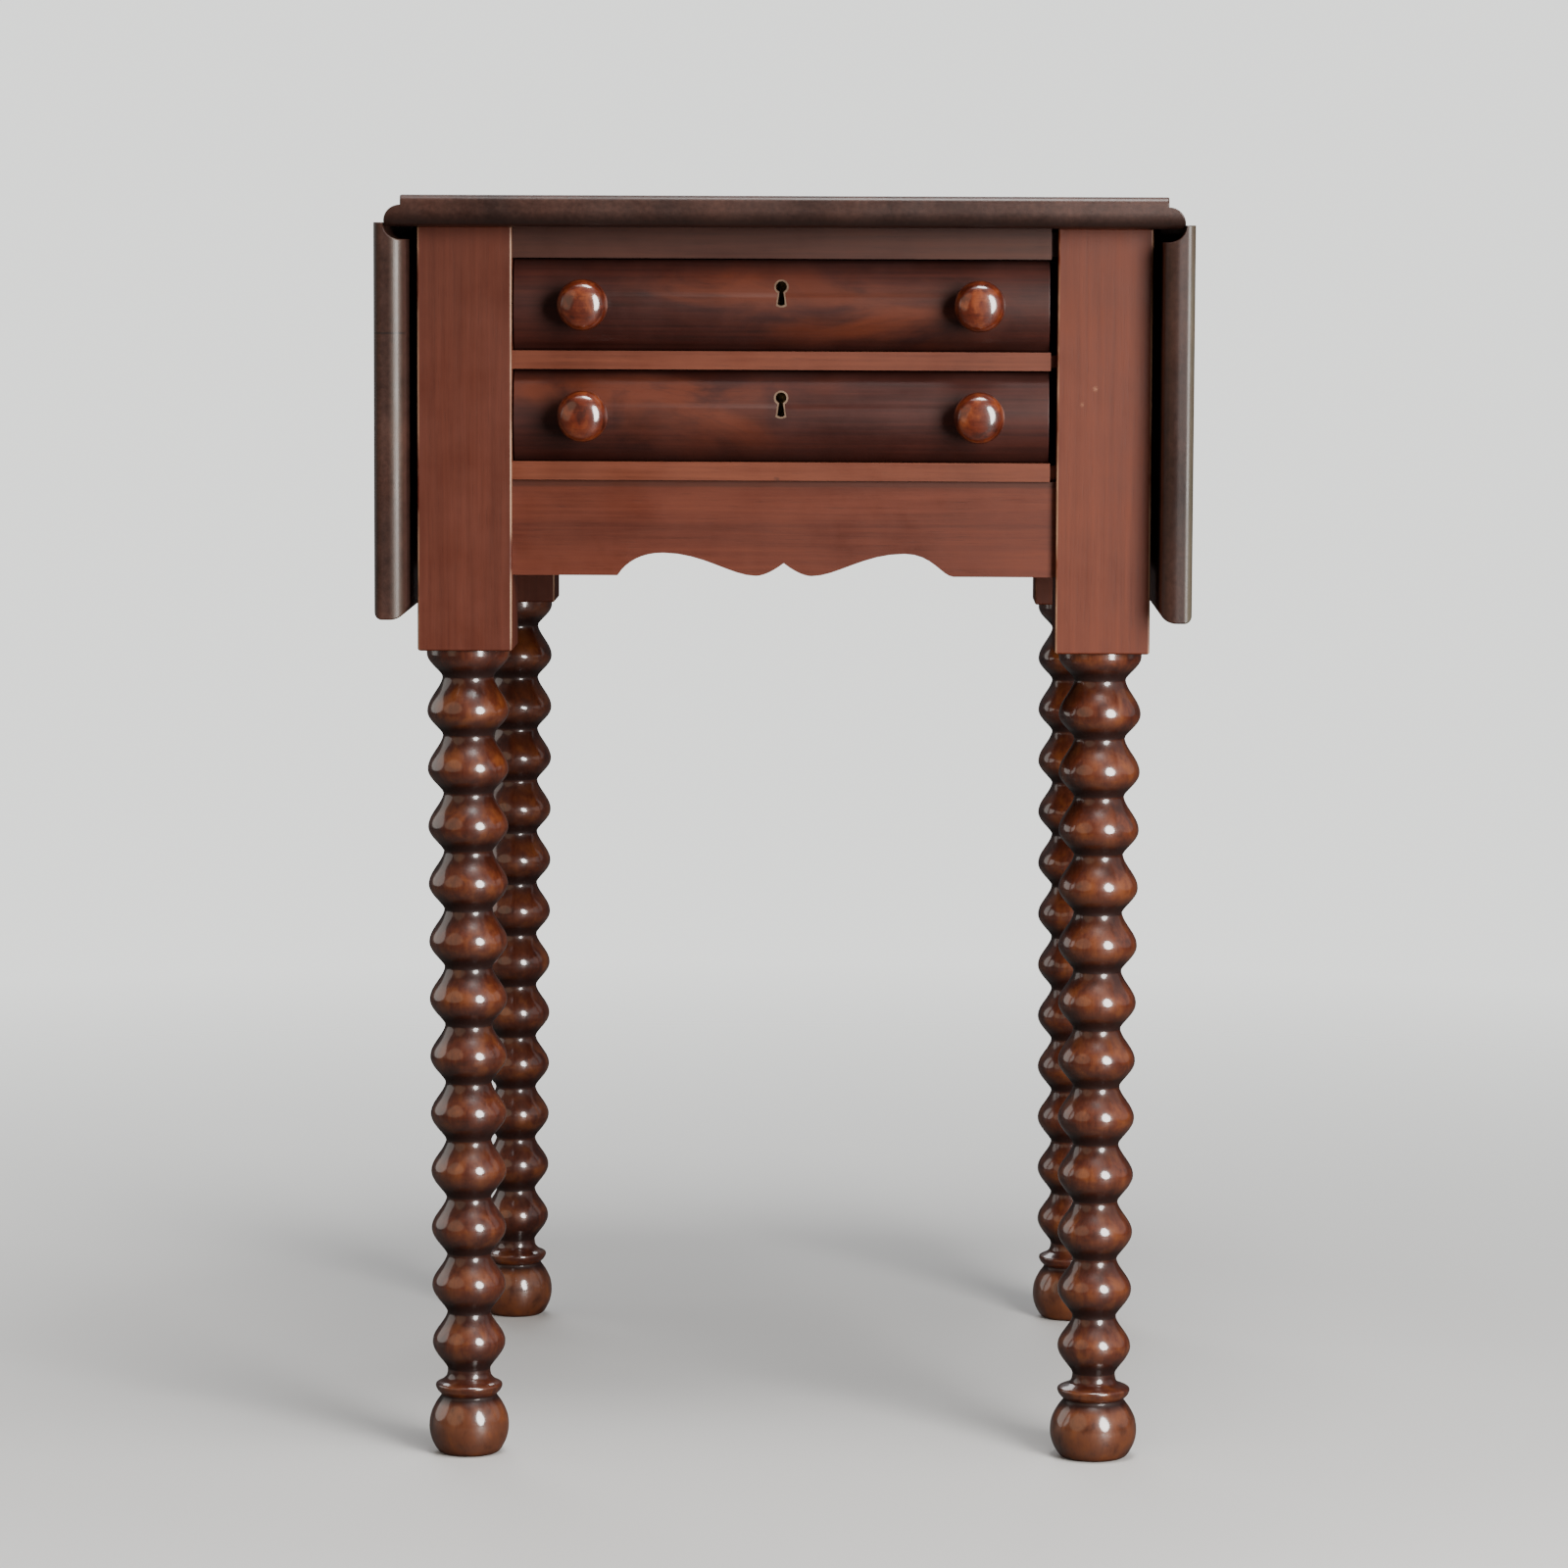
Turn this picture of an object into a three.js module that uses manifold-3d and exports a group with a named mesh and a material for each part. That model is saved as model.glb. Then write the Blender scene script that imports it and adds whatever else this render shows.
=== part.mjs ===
// A mid-19th-century drop-leaf sewing table: two drawers in a case on four bobbin-turned legs,
// with a fixed top and two leaves that hang on rule joints.
//
// Millimetres. +Z is up, +X is to the right of someone facing the drawers, and the drawers open
// towards -Y. The origin is on the floor, under the middle of the top.

import * as THREE from "three";
import { mergeVertices } from "three/addons/utils/BufferGeometryUtils.js";
import Module from "manifold-3d";

const wasm = await Module();
wasm.setup();

// ---------------------------------------------------------------- driving dimensions

const TABLE_HEIGHT = 730;
const CASE_WIDTH = 418; // over the outer faces of the posts
const CASE_DEPTH = 480;
const POST = 54; // square section at the top of each leg
const POST_FOOT = 470.5; // height where the square post ends and the turning starts

const BOARD = 18; // thickness of the top and of both leaves
const FILLET = 5.7; // upright step at the top of the moulded edge
const OVOLO = 9.5; // quarter round under the step, and the radius of the rule joint
const NOSING = 6; // rounding of both corners of every edge that isn't part of a rule joint
const TOP_OVERHANG = 25; // front and back, from the post to the ovolo
const LEAF_WIDTH = 225; // from the rule joint's axis to the leaf's moulded edge
const RULE_GAP = 0.5; // between the ovolo and the leaf's cove
const HINGE_X = 216.5; // the rule joint's axis, either side of the middle

const TOP_RAIL = 17.4;
const THIN_RAIL = 10.4; // the rails under each drawer
const OPENING = 52.6; // height of each drawer opening
const RAIL_SETBACK = 3; // rails behind the posts' front faces
const APRON_SETBACK = 6;
const RIGHT_SHRINK = 3.6; // rails and drawers have shrunk away from the right-hand posts
const APRON_FOOT = 514;
const APRON_THICK = 18;
const PANEL_THICK = 18; // side panels
const BACK_THICK = 16;
const PANEL_SETBACK = 4; // side and back panels behind the posts' outer faces

const BOBBIN_PITCH = 33.5;
const LAST_BOBBIN = 65.5; // height of the lowest bobbin's middle
const BOBBIN_COUNT = 12; // whole bobbins under the half bobbin that meets the post
// The bobbins and the necks between them grow a little from the foot to the post.
const BOBBIN_RADIUS = { foot: 21.2, post: 23.8 };
const NECK_RADIUS = { foot: 12.4, post: 14.8 };
// A neck is higher than halfway between two crests, by this share of the pitch.
const NECK_RISE = { foot: 0.03, post: 0.11 };
// The legs were turned by hand, so their feet differ.
const FOOT_RADIUS = {
  front_left_leg: 23.2,
  front_right_leg: 25.2,
  back_left_leg: 23.6,
  back_right_leg: 23.9,
};

const DRAWER_GAP = 0.7; // each side of a drawer
const DRAWER_LIFT = 0.3; // under a drawer
const FRONT_BULGE = 9; // of the cushion-shaped drawer front
const FRONT_EDGE_SETBACK = 10; // of the drawer front's edges behind the posts
const FRONT_THICK = 19; // at the edges
const SIDE_THICK = 9;
const DRAWER_SIDE_HEIGHT = 47.7;
const DRAWER_DEPTH = 420; // from the front's edge to the back
const KNOB_X = 112.5;
const KNOB_RADIUS = 14.5;
const KNOB_REACH = 23;
const TAIL_COUNT = 3;

const KEYHOLE_DROP = 15.3; // from the top of the drawer front to the keyhole's round head
const BOLT_THROW = 6;

const HINGE_Y = 165; // hinges, either side of the middle of each leaf
const HINGE_WIDTH = 34;
const PLATE_THICK = 1.8;
const PLATE_FACE = 2.6; // from the pin's axis to the plates' outer face
const KNUCKLE_RADIUS = 2.6;

const ARM_LENGTH = 190;
const ARM_HEIGHT = 11.8;

const FIT = 0.3; // clearance between pieces that move, or that are cut by each other
const TURNING_SIDES = 16;

// ---------------------------------------------------------------- worked-out places

const TOP_UNDER = TABLE_HEIGHT - BOARD;
const AXIS_DEPTH = FILLET + OVOLO; // rule joint's axis under the top surface
const AXIS_Z = TABLE_HEIGHT - AXIS_DEPTH;
const POST_X = (CASE_WIDTH - POST) / 2;
const POST_Y = (CASE_DEPTH - POST) / 2;
const INNER_X = POST_X - POST / 2; // inner faces of the posts
const INNER_Y = POST_Y - POST / 2;
const TOP_HALF_DEPTH = CASE_DEPTH / 2 + TOP_OVERHANG;

const UPPER_OPENING_TOP = TOP_UNDER - TOP_RAIL;
const UPPER_OPENING_FOOT = UPPER_OPENING_TOP - OPENING;
const LOWER_OPENING_TOP = UPPER_OPENING_FOOT - THIN_RAIL;
const LOWER_OPENING_FOOT = LOWER_OPENING_TOP - OPENING;
const APRON_TOP = LOWER_OPENING_FOOT - THIN_RAIL;

const RAIL_FRONT = -CASE_DEPTH / 2 + RAIL_SETBACK;
const APRON_FRONT = -CASE_DEPTH / 2 + APRON_SETBACK;
const PANEL_OUT = CASE_WIDTH / 2 - PANEL_SETBACK;
const PANEL_IN = PANEL_OUT - PANEL_THICK;
const BACK_OUT = CASE_DEPTH / 2 - PANEL_SETBACK;
const BACK_IN = BACK_OUT - BACK_THICK;

// ---------------------------------------------------------------- materials

const wood = (colour, roughness) =>
  new THREE.MeshStandardMaterial({ color: colour, roughness, metalness: 0 });
const FRAME_WOOD = wood(0x7d4230, 0.42);
const TURNED_WOOD = wood(0x5a2817, 0.25);
const VENEER = wood(0x5e2a1d, 0.3);
const TOP_WOOD = wood(0x4a2a20, 0.35);
const KNOB_WOOD = wood(0x9a5535, 0.25);
const POPLAR = wood(0xb59468, 0.75);
const BRASS = new THREE.MeshStandardMaterial({
  color: 0xa98a58,
  roughness: 0.45,
  metalness: 0.9,
});
const IRON = new THREE.MeshStandardMaterial({
  color: 0x4a423c,
  roughness: 0.6,
  metalness: 0.8,
});

// ---------------------------------------------------------------- solids

function solid(geometry) {
  const bare = geometry.index ? geometry.toNonIndexed() : geometry.clone();
  bare.deleteAttribute("normal");
  bare.deleteAttribute("uv");
  const merged = mergeVertices(bare, 1e-3);
  return new wasm.Manifold(
    new wasm.Mesh({
      numProp: 3,
      vertProperties: merged.attributes.position.array,
      triVerts: new Uint32Array(merged.index.array),
    }),
  );
}

function geometryOf(manifold) {
  const mesh = manifold.getMesh();
  const geometry = new THREE.BufferGeometry();
  geometry.setAttribute("position", new THREE.BufferAttribute(mesh.vertProperties, 3));
  geometry.setIndex(new THREE.BufferAttribute(mesh.triVerts, 1));
  return geometry;
}

// Both take geometries and give one back.
const cut = (geometry, ...tools) =>
  geometryOf(tools.reduce((rest, tool) => rest.subtract(solid(tool)), solid(geometry)));
const join = (geometry, ...others) =>
  geometryOf(others.reduce((sum, other) => sum.add(solid(other)), solid(geometry)));
const overlap = (a, b) => geometryOf(solid(a).intersect(solid(b)));

// A box given by its two corners, in any order.
function box([x0, x1], [y0, y1], [z0, z1]) {
  const geometry = new THREE.BoxGeometry(
    Math.abs(x1 - x0),
    Math.abs(y1 - y0),
    Math.abs(z1 - z0),
  );
  return geometry.translate((x0 + x1) / 2, (y0 + y1) / 2, (z0 + z1) / 2);
}

const outline = (points) => new THREE.Shape(points.map(([a, b]) => new THREE.Vector2(a, b)));

// An outline in YZ, drawn out along X from x0 to x1.
function alongX(shape, x0, x1, curveSegments = 8) {
  const geometry = new THREE.ExtrudeGeometry(shape, {
    depth: x1 - x0,
    bevelEnabled: false,
    curveSegments,
  });
  geometry.applyMatrix4(new THREE.Matrix4().set(0, 0, 1, x0, 1, 0, 0, 0, 0, 1, 0, 0, 0, 0, 0, 1));
  return geometry;
}

// An outline in XZ, drawn out along Y from y0 to y1.
function alongY(shape, y0, y1, curveSegments = 8) {
  const geometry = new THREE.ExtrudeGeometry(shape, {
    depth: y1 - y0,
    bevelEnabled: false,
    curveSegments,
  });
  geometry.applyMatrix4(new THREE.Matrix4().set(1, 0, 0, 0, 0, 0, -1, y1, 0, 1, 0, 0, 0, 0, 0, 1));
  return geometry;
}

// A turning about +Z from its (radius, height) profile, which starts and ends on the axis.
function turned(profile, sides = TURNING_SIDES) {
  const geometry = new THREE.LatheGeometry(
    profile.map(([r, z]) => new THREE.Vector2(r, z)),
    sides,
  );
  return geometry.rotateX(Math.PI / 2);
}

function rod(radius, length, sides = 16) {
  return new THREE.CylinderGeometry(radius, radius, length, sides);
}

const table = new THREE.Group();

function place(name, geometry, material, parent = table) {
  const mesh = new THREE.Mesh(geometry, material);
  mesh.name = name;
  parent.add(mesh);
  return mesh;
}

const SIDES = [
  ["left", -1],
  ["right", 1],
];

// ---------------------------------------------------------------- legs

// A size that changes evenly from the lowest bobbin to the post. The phase is 0 at the lowest
// bobbin's crest, and goes up by 1 for each bobbin.
function alongLeg({ foot, post }, phase) {
  return THREE.MathUtils.lerp(foot, post, THREE.MathUtils.clamp(phase / BOBBIN_COUNT, 0, 1));
}

// Bobbins with a long easy flank above the crest, a short full one below it, and narrow necks.
function bobbinRadius(phase) {
  const crest = alongLeg(BOBBIN_RADIUS, phase);
  const neck = alongLeg(NECK_RADIUS, phase);
  const rise = alongLeg(NECK_RISE, phase);
  const above = phase - Math.round(phase - rise);
  const share = above > 0 ? above / (0.5 + rise) : -above / (0.5 - rise);
  const fullness = Math.max(Math.cos((share * Math.PI) / 2), 0) ** (above > 0 ? 1.7 : 1.3);
  return neck + (crest - neck) * fullness;
}

function legProfile(footRadius) {
  const profile = [
    [0, 0],
    [0.7 * footRadius, 0],
  ];
  // Bun foot: two quarter ellipses that meet at its widest height.
  const widest = 15.5;
  const below = 21.8;
  const above = 23.8;
  for (const share of [-0.36, -0.18, 0, 0.18, 0.36, 0.5]) {
    const angle = share * (Math.PI / 2) * 1.05;
    const stretch = share < 0 ? below : above;
    profile.push([footRadius * Math.cos(angle), widest + stretch * Math.sin(angle)]);
  }
  // Thin flared ring between the bun and the lowest bobbin.
  const ringRadius = 0.84 * footRadius;
  profile.push([0.7 * footRadius, 34.4], [ringRadius - 2.4, 35.4], [ringRadius, 38.2]);
  profile.push([ringRadius, 40], [ringRadius - 3.6, 41.8], [NECK_RADIUS.foot + 2, 45.2]);
  for (let bobbin = 0; bobbin <= BOBBIN_COUNT; bobbin++) {
    const rise = alongLeg(NECK_RISE, bobbin);
    for (const share of [-1, -0.5, 0, 0.4, 0.75]) {
      const phase = bobbin + share * (share > 0 ? 0.5 + rise : 0.5 - rise);
      const height = LAST_BOBBIN + phase * BOBBIN_PITCH;
      if (height < POST_FOOT) profile.push([bobbinRadius(phase), height]);
    }
  }
  profile.push([BOBBIN_RADIUS.post, POST_FOOT + 4], [0, POST_FOOT + 4]);
  return profile;
}

// Mortises are the tenons of the rails and panels with a little room round them.
const MORTISE_ROOM = 0.2;

function tenonBox(xs, ys, zs, room = 0) {
  const grow = ([low, high]) => [Math.min(low, high) - room, Math.max(low, high) + room];
  return box(grow(xs), grow(ys), grow(zs));
}

const PANEL_TENON = { depth: 22, thick: 8, shoulder: 9 };
const RAIL_TENON = { length: 15, width: 20, inset: 6, shoulder: 1.7 };
const APRON_TENON = { length: 16, thick: 8, shoulder: 8 };

const panelTenon = (sx, sy, room) => {
  const middle = PANEL_OUT - PANEL_THICK / 2;
  const half = PANEL_TENON.thick / 2;
  return tenonBox(
    [sx * (middle - half), sx * (middle + half)],
    [sy * (INNER_Y - 1), sy * (INNER_Y + PANEL_TENON.depth)],
    [APRON_FOOT + PANEL_TENON.shoulder, TOP_UNDER - PANEL_TENON.shoulder],
    room,
  );
};
const backTenon = (sx, room) => {
  const middle = BACK_OUT - BACK_THICK / 2;
  const half = PANEL_TENON.thick / 2;
  return tenonBox(
    [sx * (INNER_X - 1), sx * (INNER_X + APRON_TENON.length)],
    [middle - half, middle + half],
    [APRON_FOOT + PANEL_TENON.shoulder, TOP_UNDER - PANEL_TENON.shoulder],
    room,
  );
};
const railTenon = (sx, [foot, top], room) =>
  tenonBox(
    [sx * (INNER_X - RIGHT_SHRINK - 1), sx * (INNER_X + RAIL_TENON.length)],
    [RAIL_FRONT + RAIL_TENON.inset, RAIL_FRONT + RAIL_TENON.inset + RAIL_TENON.width],
    [foot + RAIL_TENON.shoulder, top - RAIL_TENON.shoulder],
    room,
  );
const apronTenon = (sx, room) => {
  const middle = APRON_FRONT + APRON_THICK / 2;
  const half = APRON_TENON.thick / 2;
  return tenonBox(
    [sx * (INNER_X - 1), sx * (INNER_X + APRON_TENON.length)],
    [middle - half, middle + half],
    [APRON_FOOT + APRON_TENON.shoulder, APRON_TOP - APRON_TENON.shoulder],
    room,
  );
};

const RAILS = {
  top_rail: [UPPER_OPENING_TOP, TOP_UNDER],
  middle_rail: [LOWER_OPENING_TOP, UPPER_OPENING_FOOT],
  bottom_rail: [APRON_TOP, LOWER_OPENING_FOOT],
};

function makeLegs() {
  for (const [side, sx] of SIDES) {
    for (const [end, sy] of [
      ["front", -1],
      ["back", 1],
    ]) {
      const name = `${end}_${side}_leg`;
      const x = sx * POST_X;
      const y = sy * POST_Y;
      const post = box([x - POST / 2, x + POST / 2], [y - POST / 2, y + POST / 2], [POST_FOOT, TOP_UNDER]);
      const turning = turned(legProfile(FOOT_RADIUS[name])).translate(x, y, 0);
      const mortises = [panelTenon(sx, sy, MORTISE_ROOM)];
      if (end === "back") mortises.push(backTenon(sx, MORTISE_ROOM));
      else {
        for (const heights of Object.values(RAILS)) mortises.push(railTenon(sx, heights, MORTISE_ROOM));
        mortises.push(apronTenon(sx, MORTISE_ROOM));
      }
      place(name, cut(join(post, turning), ...mortises), TURNED_WOOD);
    }
  }
}

// ---------------------------------------------------------------- case

const FRONT_BACK_Y = -CASE_DEPTH / 2 + FRONT_EDGE_SETBACK + FRONT_THICK;
const DRAWER_X = -RIGHT_SHRINK / 2; // middle of the drawers
const boltX = 7; // half the bolt's width
const boltY = [FRONT_BACK_Y - 6.5, FRONT_BACK_Y - 2.5];

function makeRails() {
  for (const [name, heights] of Object.entries(RAILS)) {
    const bar = box([-INNER_X, INNER_X - RIGHT_SHRINK], [RAIL_FRONT, -INNER_Y], heights);
    const tenons = SIDES.map(([, sx]) => railTenon(sx, heights, 0));
    // The bolt of the drawer below shoots up into a pocket in the rail.
    const pocket = box(
      [DRAWER_X - boltX - 0.6, DRAWER_X + boltX + 0.6],
      [boltY[0] - 0.6, boltY[1] + 0.6],
      [heights[0] - 1, heights[0] + BOLT_THROW + 2],
    );
    const rail = join(bar, ...tenons);
    place(name, name === "bottom_rail" ? rail : cut(rail, pocket), FRAME_WOOD);
  }
}

// Cut along the apron's lower edge, on the right half: level, up over a hollow, down a long
// ogee to a lobe, and up to a small cusp in the middle.
const SCALLOP = { end: 95, crest: 69, rise: 13, lobe: 16, cusp: 7.4 };

function apronOutline() {
  const { end, crest, rise, lobe, cusp } = SCALLOP;
  const shape = new THREE.Shape();
  const z = (above) => APRON_FOOT + above;
  shape.moveTo(-INNER_X, APRON_TOP - FIT);
  shape.lineTo(-INNER_X, z(0));
  shape.lineTo(-end, z(0));
  shape.bezierCurveTo(-end + 5, z(8), -crest - 12, z(rise), -crest, z(rise));
  shape.bezierCurveTo(-crest + 23, z(rise), -lobe - 14, z(0), -lobe, z(0));
  shape.bezierCurveTo(-lobe + 5, z(0), -4.5, z(cusp - 3.6), 0, z(cusp));
  shape.bezierCurveTo(4.5, z(cusp - 3.6), lobe - 5, z(0), lobe, z(0));
  shape.bezierCurveTo(lobe + 14, z(0), crest - 23, z(rise), crest, z(rise));
  // The right-hand end eases out into the straight edge.
  shape.bezierCurveTo(crest + 16, z(rise), end - 5, z(0.5), end + 2, z(0));
  shape.lineTo(INNER_X, z(0));
  shape.lineTo(INNER_X, APRON_TOP - FIT);
  return shape;
}

function makeApron() {
  const board = alongY(apronOutline(), APRON_FRONT, APRON_FRONT + APRON_THICK);
  place("front_apron", join(board, ...SIDES.map(([, sx]) => apronTenon(sx, 0))), FRAME_WOOD);
}

function makePanels() {
  for (const [side, sx] of SIDES) {
    const panel = box([sx * PANEL_IN, sx * PANEL_OUT], [-INNER_Y, INNER_Y], [APRON_FOOT, TOP_UNDER]);
    const tenons = [-1, 1].map((sy) => panelTenon(sx, sy, 0));
    const notch = box(
      [sx * (PANEL_IN - 1), sx * (PANEL_OUT + 1)],
      [-ARM_LENGTH / 2 - 1, ARM_LENGTH / 2 + 1],
      [TOP_UNDER - ARM_HEIGHT - 2 * FIT, TOP_UNDER + 1],
    );
    const screwHole = rod(PIVOT_SCREW.shank + FIT / 2, 40)
      .rotateX(Math.PI / 2)
      .translate(sx * ARM_X, 0, TOP_UNDER - ARM_HEIGHT - 10);
    place(`${side}_side_panel`, cut(join(panel, ...tenons), notch, screwHole), FRAME_WOOD);
  }
  const back = box([-INNER_X, INNER_X], [BACK_IN, BACK_OUT], [APRON_FOOT, TOP_UNDER]);
  place("back_panel", join(back, ...SIDES.map(([, sx]) => backTenon(sx, 0))), FRAME_WOOD);
}

const RUNNER_INNER = 140;
const GUIDE_HEIGHT = 14;
const KICKER_THICK = 4.8;

// Each drawer runs on two L-shaped runners. Kickers over the upper drawer stop it tipping.
function makeRunners() {
  const guideX = INNER_X + 0.6;
  const ends = [-INNER_Y + FIT, INNER_Y - FIT];
  for (const [level, foot] of [
    ["upper", UPPER_OPENING_FOOT],
    ["lower", LOWER_OPENING_FOOT],
  ]) {
    for (const [side, sx] of SIDES) {
      const section = [
        [RUNNER_INNER, foot - THIN_RAIL],
        [PANEL_IN, foot - THIN_RAIL],
        [PANEL_IN, foot + GUIDE_HEIGHT],
        [guideX, foot + GUIDE_HEIGHT],
        [guideX, foot],
        [RUNNER_INNER, foot],
      ].map(([x, z]) => [sx * x, z]);
      if (sx < 0) section.reverse();
      place(`${level}_${side}_runner`, alongY(outline(section), ...ends), POPLAR);
    }
    const stop = box(
      [-30, 30],
      [FRONT_BACK_Y + FIT, FRONT_BACK_Y + 14],
      [foot, foot + 4],
    );
    place(`${level}_drawer_stop`, stop, POPLAR);
  }
  for (const [side, sx] of SIDES) {
    const strip = box(
      [sx * RUNNER_INNER, sx * PANEL_IN],
      ends,
      [UPPER_OPENING_TOP, UPPER_OPENING_TOP + KICKER_THICK],
    );
    place(`${side}_kicker`, strip, POPLAR);
  }
}

// ---------------------------------------------------------------- leaf supports

const ARM_X = PANEL_OUT - PANEL_THICK / 2;
const PIVOT_SCREW = { shank: 2.5, head: 5, headDepth: 3, length: 26 };

// A wooden arm lies in the notch in each side panel, and turns on an upright screw at its middle.
function makeSupports() {
  const armTop = TOP_UNDER - FIT;
  for (const [side, sx] of SIDES) {
    const arm = box(
      [sx * (PANEL_IN + FIT), sx * (PANEL_OUT - FIT)],
      [-ARM_LENGTH / 2, ARM_LENGTH / 2],
      [armTop - ARM_HEIGHT, armTop],
    );
    const upright = (radius, top, length) =>
      rod(radius, length)
        .rotateX(Math.PI / 2)
        .translate(sx * ARM_X, 0, top - length / 2);
    const { shank, head, headDepth, length } = PIVOT_SCREW;
    const bore = upright(shank + FIT / 2, armTop + 1, ARM_HEIGHT + 2);
    const sink = upright(head + FIT / 2, armTop + 1, headDepth + 1 + FIT);
    place(`${side}_support_arm`, cut(arm, bore, sink), FRAME_WOOD);
    const screw = join(
      upright(shank, armTop - FIT, length),
      upright(head, armTop - FIT, headDepth - FIT),
    );
    place(`${side}_support_screw`, screw, IRON);
  }
}

// ---------------------------------------------------------------- top and leaves

// The moulded edge of a board, from its top surface down, as offsets from the rule joint's axis:
// an upright fillet, a quarter round, and a short fall to the underside.
const UNDER = AXIS_DEPTH - BOARD; // the underside, seen from the axis

const quarterSteps = 8;

// Points down a moulded edge whose fillet stands at edge.
function mouldedEdge(edge) {
  const points = [[edge, AXIS_DEPTH]];
  for (let i = 0; i <= quarterSteps; i++) {
    const angle = ((Math.PI / 2) * i) / quarterSteps;
    points.push([edge + OVOLO * Math.sin(angle), OVOLO * Math.cos(angle)]);
  }
  points.push([edge + OVOLO - 0.6, UNDER]);
  return points;
}

// Points up the cove that fits over the ovolo, ending at the leaf's top surface.
function cove() {
  const radius = OVOLO + RULE_GAP;
  const top = Math.acos(RULE_GAP / radius);
  const points = [[radius, UNDER]];
  for (let i = 0; i <= quarterSteps; i++) {
    const angle = (top * i) / quarterSteps;
    points.push([radius * Math.cos(angle), radius * Math.sin(angle)]);
  }
  points.push([RULE_GAP, AXIS_DEPTH]);
  return points;
}

// Points down a plain edge, rounded at both corners.
function nosedEdge(reach) {
  const corner = (height, from) =>
    [0, 1, 2, 3, 4, 5, 6].map((i) => {
      const angle = from - (Math.PI / 2) * (i / 6);
      return [reach - NOSING + NOSING * Math.cos(angle), height + NOSING * Math.sin(angle)];
    });
  return [...corner(AXIS_DEPTH - NOSING, Math.PI / 2), ...corner(UNDER + NOSING, 0)];
}

// A section with the same edge at both ends and its middle at 0.
function section(right) {
  const left = right.map(([a, b]) => [-a, b]).reverse();
  return outline([...right, ...left]);
}

// The recess under a board for one hinge, from x0 to x1 seen from the axis, and its pin's channel.
const hingeSpan = (y) => [y - HINGE_WIDTH / 2 - FIT, y + HINGE_WIDTH / 2 + FIT];
const hingeRecess = (x0, x1, y) =>
  box([x0, x1], hingeSpan(y), [UNDER - 1, PLATE_THICK - PLATE_FACE + FIT]);
const knuckleChannel = (y) => {
  const reach = KNUCKLE_RADIUS + FIT;
  return box([-reach, reach], hingeSpan(y), [UNDER - 1, reach]);
};
const FIXED_REACH = 30; // of the hinge's plate under the top
const LEAF_REACH = 46; // of its plate under the leaf

function makeTop() {
  const across = alongY(section(mouldedEdge(HINGE_X)), -TOP_HALF_DEPTH, TOP_HALF_DEPTH);
  const through = alongX(section(nosedEdge(TOP_HALF_DEPTH)), -HINGE_X - OVOLO, HINGE_X + OVOLO);
  const recesses = [];
  for (const [, sx] of SIDES) {
    for (const y of [-HINGE_Y, HINGE_Y]) {
      const cuts = [hingeRecess(-FIXED_REACH - FIT, OVOLO + 1, y), knuckleChannel(y)];
      for (const tool of cuts) {
        recesses.push(tool.rotateZ(sx > 0 ? 0 : Math.PI).translate(sx * HINGE_X, 0, 0));
      }
    }
  }
  const top = place("fixed_top", cut(overlap(across, through), ...recesses), TOP_WOOD);
  top.position.z = AXIS_Z;
}

function leafGeometry() {
  const profile = outline([...nosedEdge(LEAF_WIDTH), ...cove()]);
  const across = alongY(profile, -TOP_HALF_DEPTH, TOP_HALF_DEPTH);
  const through = alongX(section(nosedEdge(TOP_HALF_DEPTH)), 0, LEAF_WIDTH + 1);
  const recesses = [-HINGE_Y, HINGE_Y].map((y) => hingeRecess(OVOLO, LEAF_REACH + FIT, y));
  return cut(overlap(across, through), ...recesses);
}

function barrel(y0, y1) {
  const tube = rod(KNUCKLE_RADIUS, y1 - y0).translate(0, (y0 + y1) / 2, 0);
  return tube;
}

function hingePlates(y) {
  const half = HINGE_WIDTH / 2;
  const faces = [-PLATE_FACE, PLATE_THICK - PLATE_FACE];
  const middle = 5.5; // half the middle knuckle
  const clear = KNUCKLE_RADIUS + FIT;
  const bore = rod(1.3, HINGE_WIDTH + 4);
  const fixed = cut(
    join(
      box([-FIXED_REACH, -clear], [-half, half], faces),
      box([-clear - 1, 0], [-middle, middle], faces),
      barrel(-middle, middle),
    ),
    bore,
  );
  const leafSide = cut(
    join(
      box([clear, LEAF_REACH], [-half, half], faces),
      ...[-1, 1].flatMap((s) => {
        const span = [s * (middle + FIT), s * half].sort((a, b) => a - b);
        return [box([0, clear + 1], span, faces), barrel(...span)];
      }),
    ),
    bore,
  );
  const pin = rod(1.05, HINGE_WIDTH);
  return { fixed, leafSide, pin, y };
}

// Each leaf is modelled level, and its group hangs it from the rule joint's axis. The left side is
// the right side turned half round about the upright.
function makeLeaves() {
  for (const [side, sx] of SIDES) {
    const joint = new THREE.Group();
    joint.position.set(sx * HINGE_X, 0, AXIS_Z);
    if (sx < 0) joint.rotation.z = Math.PI;
    const hanging = new THREE.Group();
    hanging.rotation.y = Math.PI / 2;
    joint.add(hanging);
    table.add(joint);
    place(`${side}_leaf_board`, leafGeometry(), TOP_WOOD, hanging);
    for (const [end, y] of [
      ["front", -sx * HINGE_Y],
      ["back", sx * HINGE_Y],
    ]) {
      const { fixed, leafSide, pin } = hingePlates(y);
      const name = `${side}_${end}_hinge`;
      place(`${name}_fixed_plate`, fixed, IRON, joint).position.y = y;
      place(`${name}_leaf_plate`, leafSide, IRON, hanging).position.y = y;
      place(`${name}_pin`, pin, IRON, joint).position.y = y;
    }
  }
}

// ---------------------------------------------------------------- drawers

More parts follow.
